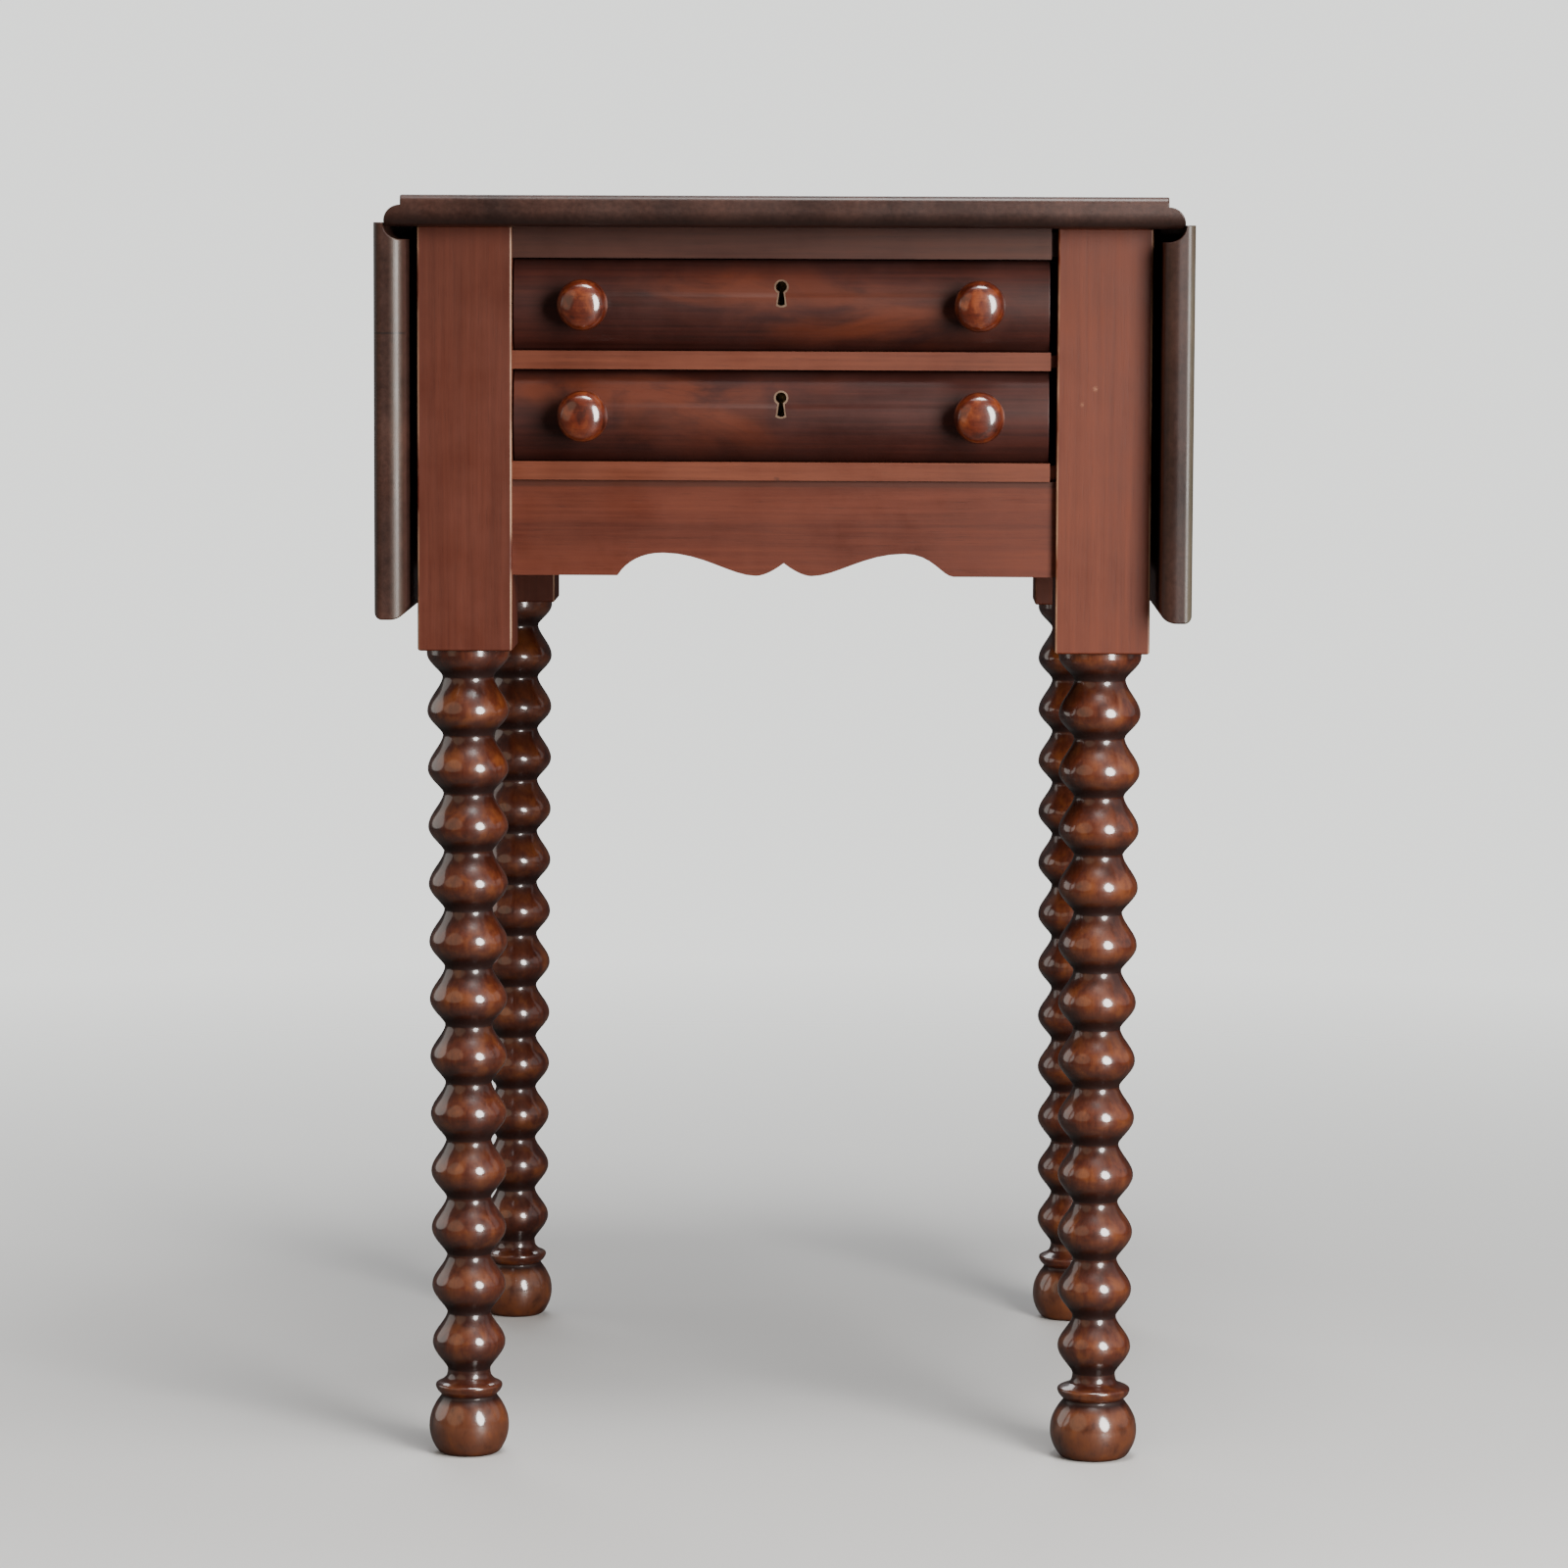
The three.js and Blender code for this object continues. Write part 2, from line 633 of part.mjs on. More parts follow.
const DRAWER_HALF = INNER_X - DRAWER_GAP - RIGHT_SHRINK / 2;
const FRONT_HEIGHT = OPENING - DRAWER_LIFT - 0.6;
const FRONT_EDGE_Y = -CASE_DEPTH / 2 + FRONT_EDGE_SETBACK;
const GROOVE = { height: 8, wide: 6.4, deep: 4.5 };
const BOTTOM_THICK = 5.8;
const TAIL = { length: 11, tip: 12, root: 8.6 };
const LOCK = { half: 19, height: 30, thick: 9 };

// The keyhole's outline round the middle of its head, let out by extra all round.
function keyhole(extra) {
  const head = 3.1 + extra;
  const foot = { top: 1.1 + extra, half: 2.1 + extra, drop: 10.8 + extra };
  const start = Math.asin(foot.top / head);
  const shape = new THREE.Shape();
  shape.absarc(0, 0, head, -Math.PI / 2 + start, (3 * Math.PI) / 2 - start, false);
  shape.lineTo(-foot.half, -foot.drop + 1);
  shape.quadraticCurveTo(0, -foot.drop - 0.8, foot.half, -foot.drop + 1);
  return shape;
}

// Cushion-shaped front: flat behind, and an arc from edge to edge in front.
function frontSection() {
  const half = FRONT_HEIGHT / 2;
  const radius = (half ** 2 + FRONT_BULGE ** 2) / (2 * FRONT_BULGE);
  const sweep = Math.asin(half / radius);
  const centre = FRONT_EDGE_Y - FRONT_BULGE + radius;
  const shape = new THREE.Shape();
  shape.moveTo(FRONT_BACK_Y, FRONT_HEIGHT);
  shape.lineTo(FRONT_EDGE_Y, FRONT_HEIGHT);
  shape.absarc(centre, half, radius, Math.PI - sweep, Math.PI + sweep, false);
  shape.lineTo(FRONT_BACK_Y, 0);
  return shape;
}

// The side of a drawer in YZ, with dovetails at its front end.
function sideOutline(room) {
  const back = FRONT_EDGE_Y + DRAWER_DEPTH;
  const pitch = DRAWER_SIDE_HEIGHT / TAIL_COUNT;
  const tip = FRONT_BACK_Y - TAIL.length - room;
  const points = [[FRONT_BACK_Y, 0]];
  for (let i = 0; i < TAIL_COUNT; i++) {
    const middle = (i + 0.5) * pitch;
    points.push(
      [FRONT_BACK_Y, middle - TAIL.root / 2 - room],
      [tip, middle - TAIL.tip / 2 - room],
      [tip, middle + TAIL.tip / 2 + room],
      [FRONT_BACK_Y, middle + TAIL.root / 2 + room],
    );
  }
  points.push([FRONT_BACK_Y, DRAWER_SIDE_HEIGHT], [back, DRAWER_SIDE_HEIGHT], [back, 0]);
  return outline(points.reverse());
}

function knobGeometry() {
  const r = KNOB_RADIUS;
  const tenon = FRONT_BULGE + FRONT_THICK - FIT;
  const profile = [
    [0, -tenon],
    [5, -tenon],
    [5, 0],
    [7.6, 0],
    [7.4, 3],
    [8.6, 6.5],
    [r - 1.6, 9.8],
    [r, 13],
    [r - 0.8, 16.4],
    [r - 3.4, 19.6],
    [r - 7.4, 22],
    [0, KNOB_REACH],
  ];
  return turned(profile, 16).rotateX(Math.PI / 2);
}

function makeDrawer(level, foot) {
  const drawer = new THREE.Group();
  drawer.position.set(DRAWER_X, 0, foot + DRAWER_LIFT);
  table.add(drawer);
  const faceY = FRONT_EDGE_Y - FRONT_BULGE;
  const middle = FRONT_HEIGHT / 2;
  const headZ = FRONT_HEIGHT - KEYHOLE_DROP;

  const blank = alongX(frontSection(), -DRAWER_HALF, DRAWER_HALF, 24);
  const sockets = SIDES.map(([, sx]) =>
    alongX(
      sideOutline(0.15),
      sx > 0 ? DRAWER_HALF - SIDE_THICK - 0.15 : -DRAWER_HALF - 1,
      sx > 0 ? DRAWER_HALF + 1 : -DRAWER_HALF + SIDE_THICK + 0.15,
    ),
  );
  const groove = (xs, ys) => box(xs, ys, [GROOVE.height, GROOVE.height + GROOVE.wide]);
  const grooveX = DRAWER_HALF - SIDE_THICK + GROOVE.deep;
  const knobBores = [-KNOB_X, KNOB_X].map((x) => rod(5.2, 60).translate(x, FRONT_BACK_Y - 15, middle));
  const lockRecess = box(
    [-LOCK.half, LOCK.half],
    [FRONT_BACK_Y - LOCK.thick, FRONT_BACK_Y + 1],
    [FRONT_HEIGHT - LOCK.height, FRONT_HEIGHT + 1],
  );
  const keyway = (extra, y0, y1) => alongY(keyhole(extra), y0, y1, 5).translate(0, 0, headZ);
  const linerWall = 1;
  const linerDepth = 4;
  const front = cut(
    blank,
    ...sockets,
    groove([-grooveX, grooveX], [FRONT_BACK_Y - GROOVE.deep, FRONT_BACK_Y + 1]),
    ...knobBores,
    lockRecess,
    keyway(linerWall + 0.15, faceY - 2, faceY + linerDepth + 0.15),
    keyway(0, faceY, FRONT_BACK_Y),
  );
  place(`${level}_drawer_front`, front, VENEER, drawer);

  // The liner is let in flush, so its face follows the cushion.
  const liner = overlap(
    cut(
      keyway(linerWall, faceY - 2, faceY + linerDepth),
      keyway(0, faceY - 3, faceY + linerDepth + 1),
    ),
    blank,
  );
  place(`${level}_keyhole_liner`, liner, BRASS, drawer);

  for (const [side, sx] of SIDES) {
    const inner = sx * (DRAWER_HALF - SIDE_THICK);
    const outer = sx * DRAWER_HALF;
    const board = alongX(sideOutline(0), Math.min(inner, outer), Math.max(inner, outer));
    const slot = groove(
      [inner - sx * 1, sx * grooveX],
      [FRONT_BACK_Y - GROOVE.deep, FRONT_EDGE_Y + DRAWER_DEPTH + 1],
    );
    place(`${level}_drawer_${side}_side`, cut(board, slot), POPLAR, drawer);
    const knob = place(`${level}_${side}_knob`, knobGeometry(), KNOB_WOOD, drawer);
    knob.position.set(sx * KNOB_X, faceY, middle);
  }

  const backY = FRONT_EDGE_Y + DRAWER_DEPTH;
  const insideX = DRAWER_HALF - SIDE_THICK - FIT;
  const bottomFoot = GROOVE.height + FIT;
  const bottom = box(
    [-grooveX + FIT, grooveX - FIT],
    [FRONT_BACK_Y - GROOVE.deep + FIT, backY],
    [bottomFoot, bottomFoot + BOTTOM_THICK],
  );
  place(`${level}_drawer_bottom`, bottom, POPLAR, drawer);
  const back = box(
    [-insideX, insideX],
    [backY - SIDE_THICK, backY],
    [bottomFoot + BOTTOM_THICK + FIT, DRAWER_SIDE_HEIGHT - 2],
  );
  place(`${level}_drawer_back`, back, POPLAR, drawer);

  const lockTop = FRONT_HEIGHT - FIT;
  const lockBox = box(
    [-LOCK.half + FIT, LOCK.half - FIT],
    [FRONT_BACK_Y - LOCK.thick + FIT, FRONT_BACK_Y],
    [FRONT_HEIGHT - LOCK.height + FIT, lockTop],
  );
  const boltLength = 12;
  const boltway = box(
    [-boltX - FIT, boltX + FIT],
    [boltY[0] - FIT, boltY[1] + FIT],
    [lockTop - boltLength - FIT, lockTop + 1],
  );
  const keyslot = keyway(0, FRONT_BACK_Y - LOCK.thick - 1, FRONT_BACK_Y - 2.5);
  place(`${level}_lock_case`, cut(lockBox, boltway, keyslot), BRASS, drawer);
  const bolt = box([-boltX, boltX], boltY, [lockTop - boltLength, lockTop]);
  place(`${level}_lock_bolt`, bolt, BRASS, drawer);
}

makeLegs();
makePanels();
makeRails();
makeApron();
makeRunners();
makeSupports();
makeTop();
makeLeaves();
makeDrawer("upper", UPPER_OPENING_FOOT);
makeDrawer("lower", LOWER_OPENING_FOOT);

export default table;
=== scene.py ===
"""A mid-19th-century drop-leaf sewing table: the fine surface, finishes, floor, light and camera.

Lengths are metres in the model's own frame: +Z up, the drawers open towards -Y, and the origin is
on the floor under the middle of the top.
"""

import math

import bmesh
import bpy
from mathutils import Matrix, Vector


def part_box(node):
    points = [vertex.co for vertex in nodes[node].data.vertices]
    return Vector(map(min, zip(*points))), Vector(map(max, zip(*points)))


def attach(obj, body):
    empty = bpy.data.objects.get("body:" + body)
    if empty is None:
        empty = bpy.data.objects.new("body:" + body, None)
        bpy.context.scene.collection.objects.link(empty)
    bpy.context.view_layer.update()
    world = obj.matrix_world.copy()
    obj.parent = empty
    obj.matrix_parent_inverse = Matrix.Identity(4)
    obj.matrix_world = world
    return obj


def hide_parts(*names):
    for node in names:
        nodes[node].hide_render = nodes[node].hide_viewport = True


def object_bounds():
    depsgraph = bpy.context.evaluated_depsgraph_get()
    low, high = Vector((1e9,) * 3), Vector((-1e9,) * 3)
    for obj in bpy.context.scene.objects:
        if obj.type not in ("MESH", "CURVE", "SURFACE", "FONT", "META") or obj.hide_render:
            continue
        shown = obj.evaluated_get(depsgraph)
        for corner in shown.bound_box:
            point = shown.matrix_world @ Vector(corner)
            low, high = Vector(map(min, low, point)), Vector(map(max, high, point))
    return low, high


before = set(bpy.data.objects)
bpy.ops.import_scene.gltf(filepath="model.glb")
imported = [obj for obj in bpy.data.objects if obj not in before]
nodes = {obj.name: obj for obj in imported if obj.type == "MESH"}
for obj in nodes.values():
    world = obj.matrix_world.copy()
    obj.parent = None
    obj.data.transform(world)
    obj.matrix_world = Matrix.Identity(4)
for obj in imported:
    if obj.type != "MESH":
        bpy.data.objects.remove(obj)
cad_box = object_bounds()

MM = 0.001

# ------------------------------------------------------------------ sizes

# The top and leaves. Heights in their sections are taken from the rule joint's axis.
FILLET = 5.7 * MM
OVOLO = 9.5 * MM
RULE_GAP = 0.5 * MM
LEAF_WIDTH = 225 * MM
HINGE_X = 216.5 * MM
AXIS_DEPTH = FILLET + OVOLO
BOARD = 18 * MM
UNDER = AXIS_DEPTH - BOARD
AXIS_Z = cad_box[1].z - AXIS_DEPTH
TOP_HALF_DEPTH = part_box("fixed_top")[1].y
BOARD_CORNER = 0.9 * MM

# Their free edges, which are rounder below than above. The solids have an even round instead.
NOSING = 4.5 * MM
UNDERCUT_HEIGHT = 9.5 * MM
UNDERCUT_DEPTH = 7 * MM

POST = 54 * MM
POST_CORNER = 1.3 * MM
POST_FOOT = 470.5 * MM
POST_OVERLAP = 4 * MM  # how far the turning runs up inside the post
BALL_TOP = 35 * MM
LOWEST_BOBBIN = 65.5 * MM  # height of its crest
BOBBIN_PITCH = 33.5 * MM
BOBBIN_COUNT = 12
BOBBIN_RADIUS = (21.2 * MM, 23.8 * MM)  # at the foot, at the post
NECK_RADIUS = (12.4 * MM, 14.8 * MM)
NECK_RISE = (0.03, 0.11)  # a neck's height over halfway between two crests, in bobbin pitches
FOOT_RADIUS = {
    "front_left_leg": 23.2 * MM,
    "front_right_leg": 25.2 * MM,
    "back_left_leg": 23.6 * MM,
    "back_right_leg": 23.9 * MM,
}

FRONT_BULGE = 9 * MM
KNOB_RADIUS = 14.5 * MM
KNOB_REACH = 23 * MM
KNOB_NECK = 7.5 * MM
KEYHOLE_HEAD_DROP = 4.1 * MM  # from the liner's top to the middle of the keyhole's head
LINER_WIDTH = MM
CUT_GAP = 0.2 * MM  # clearance round a fitting let into wood

SIDES = (("left", -1), ("right", 1))
LEVELS = ("upper", "lower")

# ------------------------------------------------------------------ meshes


def mesh_object(name, verts, faces, sharp_degrees=32):
    mesh = bpy.data.meshes.new(name)
    mesh.from_pydata([tuple(v) for v in verts], [], faces)
    mesh.validate()
    bm = bmesh.new()
    bm.from_mesh(mesh)
    bmesh.ops.recalc_face_normals(bm, faces=bm.faces)
    bm.to_mesh(mesh)
    bm.free()
    obj = bpy.data.objects.new(name, mesh)
    bpy.context.scene.collection.objects.link(obj)
    smooth(obj, sharp_degrees)
    return obj


def smooth(obj, sharp_degrees):
    obj.data.polygons.foreach_set("use_smooth", [True] * len(obj.data.polygons))
    obj.data.set_sharp_from_angle(angle=math.radians(sharp_degrees))


def apply_modifier(obj, modifier):
    with bpy.context.temp_override(object=obj, active_object=obj, selected_objects=[obj]):
        bpy.ops.object.modifier_apply(modifier=modifier.name)


def weighted_normals(obj):
    modifier = obj.modifiers.new("weighted_normals", "WEIGHTED_NORMAL")
    modifier.keep_sharp = True


def soften(obj, width, segments=2, worn=None):
    """Rounds a board's arrises. With worn, the rounded edge takes that material slot."""
    bevel = obj.modifiers.new("arrises", "BEVEL")
    bevel.width = width
    bevel.segments = segments
    bevel.limit_method = "ANGLE"
    bevel.angle_limit = math.radians(50)
    if worn is not None:
        bevel.material = worn
    return bevel


def cut(obj, cutters):
    """Subtracts the cutters, which are used up."""
    for cutter in cutters:
        modifier = obj.modifiers.new("cut", "BOOLEAN")
        modifier.object = cutter
        modifier.operation = "DIFFERENCE"
        modifier.solver = "EXACT"
        apply_modifier(obj, modifier)
        bpy.data.objects.remove(cutter)


def box_object(name, low, high):
    xs, ys, zs = zip(low, high)
    verts = [(x, y, z) for x in xs for y in ys for z in zs]
    faces = [(0, 1, 3, 2), (4, 6, 7, 5), (0, 4, 5, 1), (2, 3, 7, 6), (0, 2, 6, 4), (1, 5, 7, 3)]
    return mesh_object(name, verts, faces)


CORNER_POINTS = 5  # in each corner of a rounded rectangle


def rounded_rectangle(x0, x1, y0, y1, radius, z):
    """One loop of points, anticlockwise from above."""
    corners = (
        (x1 - radius, y1 - radius, 0),
        (x0 + radius, y1 - radius, 90),
        (x0 + radius, y0 + radius, 180),
        (x1 - radius, y0 + radius, 270),
    )
    loop = []
    for cx, cy, start in corners:
        for i in range(CORNER_POINTS):
            a = math.radians(start + 90 * i / (CORNER_POINTS - 1))
            loop.append((cx + radius * math.cos(a), cy + radius * math.sin(a), z))
    return loop


def stack(loops, offset=0):
    """Vertices and faces of a solid through loops of the same length, closed at both ends."""
    count = len(loops[0])
    verts = [p for loop in loops for p in loop]
    faces = [tuple(offset + i for i in reversed(range(count)))]
    for k in range(len(loops) - 1):
        a, b = offset + k * count, offset + (k + 1) * count
        faces += [(a + i, a + (i + 1) % count, b + (i + 1) % count, b + i) for i in range(count)]
    faces.append(tuple(offset + (len(loops) - 1) * count + i for i in range(count)))
    return verts, faces


def lathe(profile, centre, segments=64, axis="z"):
    """A turning from (radius, height) pairs that start and end on the axis.

    Height is measured up on axis z, and towards the front on axis y.
    """
    cx, cy, cz = centre
    verts, faces = [], []

    def place(r, h, a):
        u, v = r * math.cos(a), r * math.sin(a)
        return (cx + u, cy + v, cz + h) if axis == "z" else (cx + u, cy - h, cz + v)

    verts.append(place(0, profile[0][1], 0))
    for r, h in profile[1:-1]:
        verts += [place(r, h, 2 * math.pi * i / segments) for i in range(segments)]
    verts.append(place(0, profile[-1][1], 0))
    last = len(verts) - 1
    for i in range(segments):
        j = (i + 1) % segments
        faces.append((0, 1 + j, 1 + i))
        for k in range(len(profile) - 3):
            a, b = 1 + k * segments, 1 + (k + 1) * segments
            faces.append((a + i, a + j, b + j, b + i))
        top = 1 + (len(profile) - 3) * segments
        faces.append((top + i, top + j, last))
    return verts, faces


def spline(a, b, c, d, t):
    """Catmull-Rom value at share t of the way from b to c."""
    square = (2 * a - 5 * b + 4 * c - d) * t**2
    cube = (3 * b - a - 3 * c + d) * t**3
    return 0.5 * (2 * b + (c - a) * t + square + cube)


def curve_through(points, per_span):
    """A smooth line through (a, b) pairs, with per_span points for each one given."""
    out = []
    padded = [points[0], *points, points[-1]]
    for around in zip(padded, padded[1:], padded[2:], padded[3:]):
        for i in range(per_span):
            out.append(tuple(spline(*values, i / per_span) for values in zip(*around)))
    return [*out, points[-1]]


def lerp(pair, t):
    """A value between the pair's two, which holds past either end."""
    return pair[0] + (pair[1] - pair[0]) * min(max(t, 0), 1)


# ------------------------------------------------------------------ materials


class Nodes:
    """The node tree of a material or world, written as nested calls."""

    def __init__(self, owner):
        self.owner = owner
        owner.use_nodes = True
        self.tree = owner.node_tree
        self.shader = self.tree.nodes.get("Principled BSDF")

    def node(self, kind, inputs=None, **settings):
        made = self.tree.nodes.new(kind)
        for key, value in settings.items():
            setattr(made, key, value)
        for key, value in (inputs or {}).items():
            self.feed(made.inputs[key], value)
        return made

    def feed(self, socket, value):
        if isinstance(value, bpy.types.NodeSocket):
            self.tree.links.new(value, socket)
        else:
            socket.default_value = value

    def place(self, scale=1, offset=(0, 0, 0)):
        """Object coordinates, moved and scaled. One number scales all three axes."""
        scale = scale if isinstance(scale, tuple) else (scale,) * 3
        coords = self.node("ShaderNodeTexCoord").outputs["Object"]
        inputs = {"Vector": coords, "Scale": scale, "Location": offset}
        return self.node("ShaderNodeMapping", inputs).outputs["Vector"]

    def position(self):
        """The surface point's X, Y and Z, in metres."""
        return self.node("ShaderNodeSeparateXYZ", {"Vector": self.place()}).outputs

    def noise(self, vector, detail=4.0, roughness=0.55, distortion=0.0):
        inputs = {"Vector": vector, "Scale": 1.0, "Detail": detail}
        inputs |= {"Roughness": roughness, "Distortion": distortion}
        return self.node("ShaderNodeTexNoise", inputs).outputs["Fac"]

    def math(self, operation, a, b=0.0):
        return self.node("ShaderNodeMath", {0: a, 1: b}, operation=operation).outputs[0]

    def add(self, a, b):
        return self.math("ADD", a, b)

    def times(self, a, b):
        return self.math("MULTIPLY", a, b)

    def minus(self, a, b):
        return self.math("SUBTRACT", a, b)

    def range(self, value, low, high, to_low=0.0, to_high=1.0):
        inputs = {"Value": value, "From Min": low, "From Max": high}
        inputs |= {"To Min": to_low, "To Max": to_high}
        return self.node("ShaderNodeMapRange", inputs).outputs["Result"]

    def ramp(self, value, stops):
        made = self.node("ShaderNodeValToRGB", {"Fac": value})
        elements = made.color_ramp.elements
        while len(elements) < len(stops):
            elements.new(0.5)
        for element, (place, colour) in zip(elements, stops):
            element.position = place
            element.color = (*colour, 1)
        return made.outputs["Color"]

    def mix(self, factor, a, b):
        made = self.node("ShaderNodeMix", data_type="RGBA")
        colours = [s for s in made.inputs if s.type == "RGBA"]
        self.feed(made.inputs[0], factor)
        self.feed(colours[0], a if not isinstance(a, tuple) else (*a, 1))
        self.feed(colours[1], b if not isinstance(b, tuple) else (*b, 1))
        return next(s for s in made.outputs if s.type == "RGBA")

    def bump(self, height, strength, distance, normal=None):
        inputs = {"Height": height, "Strength": strength, "Distance": distance}
        if normal is not None:
            inputs["Normal"] = normal
        return self.node("ShaderNodeBump", inputs).outputs["Normal"]

    def attribute(self, name):
        return self.node("ShaderNodeAttribute", attribute_name=name).outputs["Fac"]

    def finish(self, colour, roughness, normal, **constants):
        self.feed(self.shader.inputs["Base Color"], colour)
        self.feed(self.shader.inputs["Roughness"], roughness)
        self.feed(self.shader.inputs["Normal"], normal)
        for key, value in constants.items():
            self.shader.inputs[key].default_value = value
        return self.owner


# Scales of a wood's layers, in noise cells per metre: across the grain, then along it.
BAND_SCALE = (30, 1.8)
FIBRE_SCALE = (420, 10)
PORE_SCALE = (1500, 70)
BLOTCH_SCALE = 26
RIPPLE_SCALE = 60

# What each layer adds to the figure, and where the figure turns dark, middling and light.
BAND_SHARE, FIBRE_SHARE, BLOTCH_SHARE = 0.42, 0.34, 0.24
DARK_AT, MID_AT, LIGHT_AT = 0.36, 0.5, 0.64

PORE_SHADE = 0.4  # of the dark colour
DULLED_COAT = 0.15  # of the coat, where the varnish has lost its gloss
DULLED_ROUGHNESS = 0.62

# Dirt in the legs' necks, and painted shade under the bobbins.
GRIME_AND_UNDER_BOBBIN_SHADE = (0.016, 0.0025, 0.0014)
RUBBED = (0.50, 0.28, 0.17)
CRACK = (0.012, 0.006, 0.004)
FLAME_ORANGE = (0.150, 0.0270, 0.0065)


def along(grain, across, lengthways):
    """Mapping scale with the grain drawn out along one axis."""
    return tuple(lengthways if axis == grain else across for axis in "xyz")


def scaled(colours, *factors):
    """Colours with each channel multiplied: by its own factor, or all by the one given."""
    factors = factors * 3 if len(factors) == 1 else factors
    return tuple(tuple(v * f for v, f in zip(colour, factors)) for colour in colours)


def wood(name, dark, mid, light, grain, seed, *, gloss, coat=(0.0, 0.2), coat_index=1.6,
         pores=0.3, extra=(), dulled_by=None):
    """Varnished wood: broad bands, fine fibre, cloudy blotches, dark pores and uneven old polish.

    gloss is the least and the most roughness under the coat, and coat is the coat's weight and
    roughness. extra is tints laid over the figure. Where the vertex attribute named by dulled_by
    is high, the varnish has lost its gloss.
    """
    n = Nodes(bpy.data.materials.new(name))
    shift = (seed, seed * 0.7, seed * 1.3)
    bands = n.noise(n.place(along(grain, *BAND_SCALE), shift), detail=3, distortion=0.5)
    fibre = n.noise(n.place(along(grain, *FIBRE_SCALE), shift), detail=5, roughness=0.6)
    blotch = n.noise(n.place(BLOTCH_SCALE, shift), detail=5, roughness=0.6)
    pore = n.noise(n.place(along(grain, *PORE_SCALE), shift), detail=2, roughness=0.5)
    ripple = n.noise(n.place(RIPPLE_SCALE, shift), detail=2)
    figure = n.add(n.times(bands, BAND_SHARE), n.times(fibre, FIBRE_SHARE))
    figure = n.add(figure, n.times(blotch, BLOTCH_SHARE))
    colour = n.ramp(figure, [(DARK_AT, dark), (MID_AT, mid), (LIGHT_AT, light)])
    for tint in extra:
        colour = tint(n, colour)
    pore_mask = n.range(pore, 0.60, 0.72, 0.0, pores)
    colour = n.mix(pore_mask, colour, tuple(c * PORE_SHADE for c in dark))
    wear = n.add(n.times(blotch, 0.7), n.times(fibre, 0.3))
    rough = n.range(wear, 0.35, 0.65, *gloss)
    normal = n.bump(n.minus(n.times(fibre, 0.5), pore_mask), 0.16, 0.4 * MM)
    normal = n.bump(ripple, 0.10, MM, normal)
    if dulled_by is not None:
        dulled = n.range(n.attribute(dulled_by), 0.15, 0.75, coat[0], coat[0] * DULLED_COAT)
        n.feed(n.shader.inputs["Coat Weight"], dulled)
        dry = n.range(n.attribute(dulled_by), 0.15, 0.75, 0.0, DULLED_ROUGHNESS)
        rough = n.math("MAXIMUM", rough, dry)
    else:
        n.shader.inputs["Coat Weight"].default_value = coat[0]
    return n.finish(colour, rough, normal, **{"Coat Roughness": coat[1], "Coat IOR": coat_index})


def metal(name, base, stain, rough, metallic, seed):
    """Old metal with clouds of stain and dark specks."""
    n = Nodes(bpy.data.materials.new(name))
    cloud = n.noise(n.place(90, (seed, 0, 0)), detail=6, roughness=0.65)
    speck = n.noise(n.place(700, (0, seed, 0)), detail=3)
    colour = n.mix(n.range(cloud, 0.42, 0.66), base, stain)
    colour = n.mix(n.range(speck, 0.6, 0.72, 0, 0.5), colour, tuple(c * 0.4 for c in stain))
    normal = n.bump(n.add(cloud, n.times(speck, 0.5)), 0.25, 0.3 * MM)
    return n.finish(colour, n.range(cloud, 0.35, 0.7, *rough), normal, Metallic=metallic)


# A tint is a function of the nodes and the colour so far, which returns the new colour.


def mottled(scale, light, dark, strength=0.6):
    """Cloudy old polish: pale where it is thin, dark where it has gathered."""

    def tint(n, colour):
        place = n.place((scale, scale, scale * 0.8))
        cloud = n.noise(place, detail=5, roughness=0.55, distortion=0.3)
        colour = n.mix(n.range(cloud, 0.50, 0.66, 0.0, strength), colour, light)
        return n.mix(n.range(cloud, 0.46, 0.34, 0.0, strength), colour, dark)

    return tint


def neck_dirt_and_under_bobbin_shade(n, colour):
    """Dirt held in the bobbins' necks, and painted shade under each bobbin and under the lip over
    the ball.
    """
    return n.mix(n.range(n.attribute("hollow"), 0.08, 0.62, 0.0, 0.95), colour, GRIME_AND_UNDER_BOBBIN_SHADE)


def spot(centre, radius, shade, strength=0.8):
    """A small ragged mark at one place on the surface."""

    def tint(n, colour):
        ends = {0: n.place(), 1: centre}
        away = n.node("ShaderNodeVectorMath", ends, operation="DISTANCE").outputs["Value"]
        ragged = n.add(away, n.times(n.noise(n.place(1100)), radius * 2.4))
        return n.mix(n.range(ragged, radius * 2.4, radius * 1.2, 0.0, strength), colour, shade)

    return tint


def band(axis, start, end, shade, strength, ragged=6 * MM):
    """A shade that grows along one axis from nothing at start to full strength at end."""

    def tint(n, colour):
        wander = n.times(n.minus(n.noise(n.place(55), detail=4), 0.5), ragged)
        where = n.add(n.position()[axis], wander)
        return n.mix(n.range(where, start, end, 0.0, strength), colour, shade)

    return tint


def edge_wear(n, colour):
    """Pale thin arrises where the polish has rubbed away."""
    patchy = n.range(n.noise(n.place((70, 70, 22))), 0.36, 0.54)
    rubbed = n.times(n.attribute("arris"), patchy)
    return n.mix(n.times(rubbed, 0.9), colour, RUBBED)


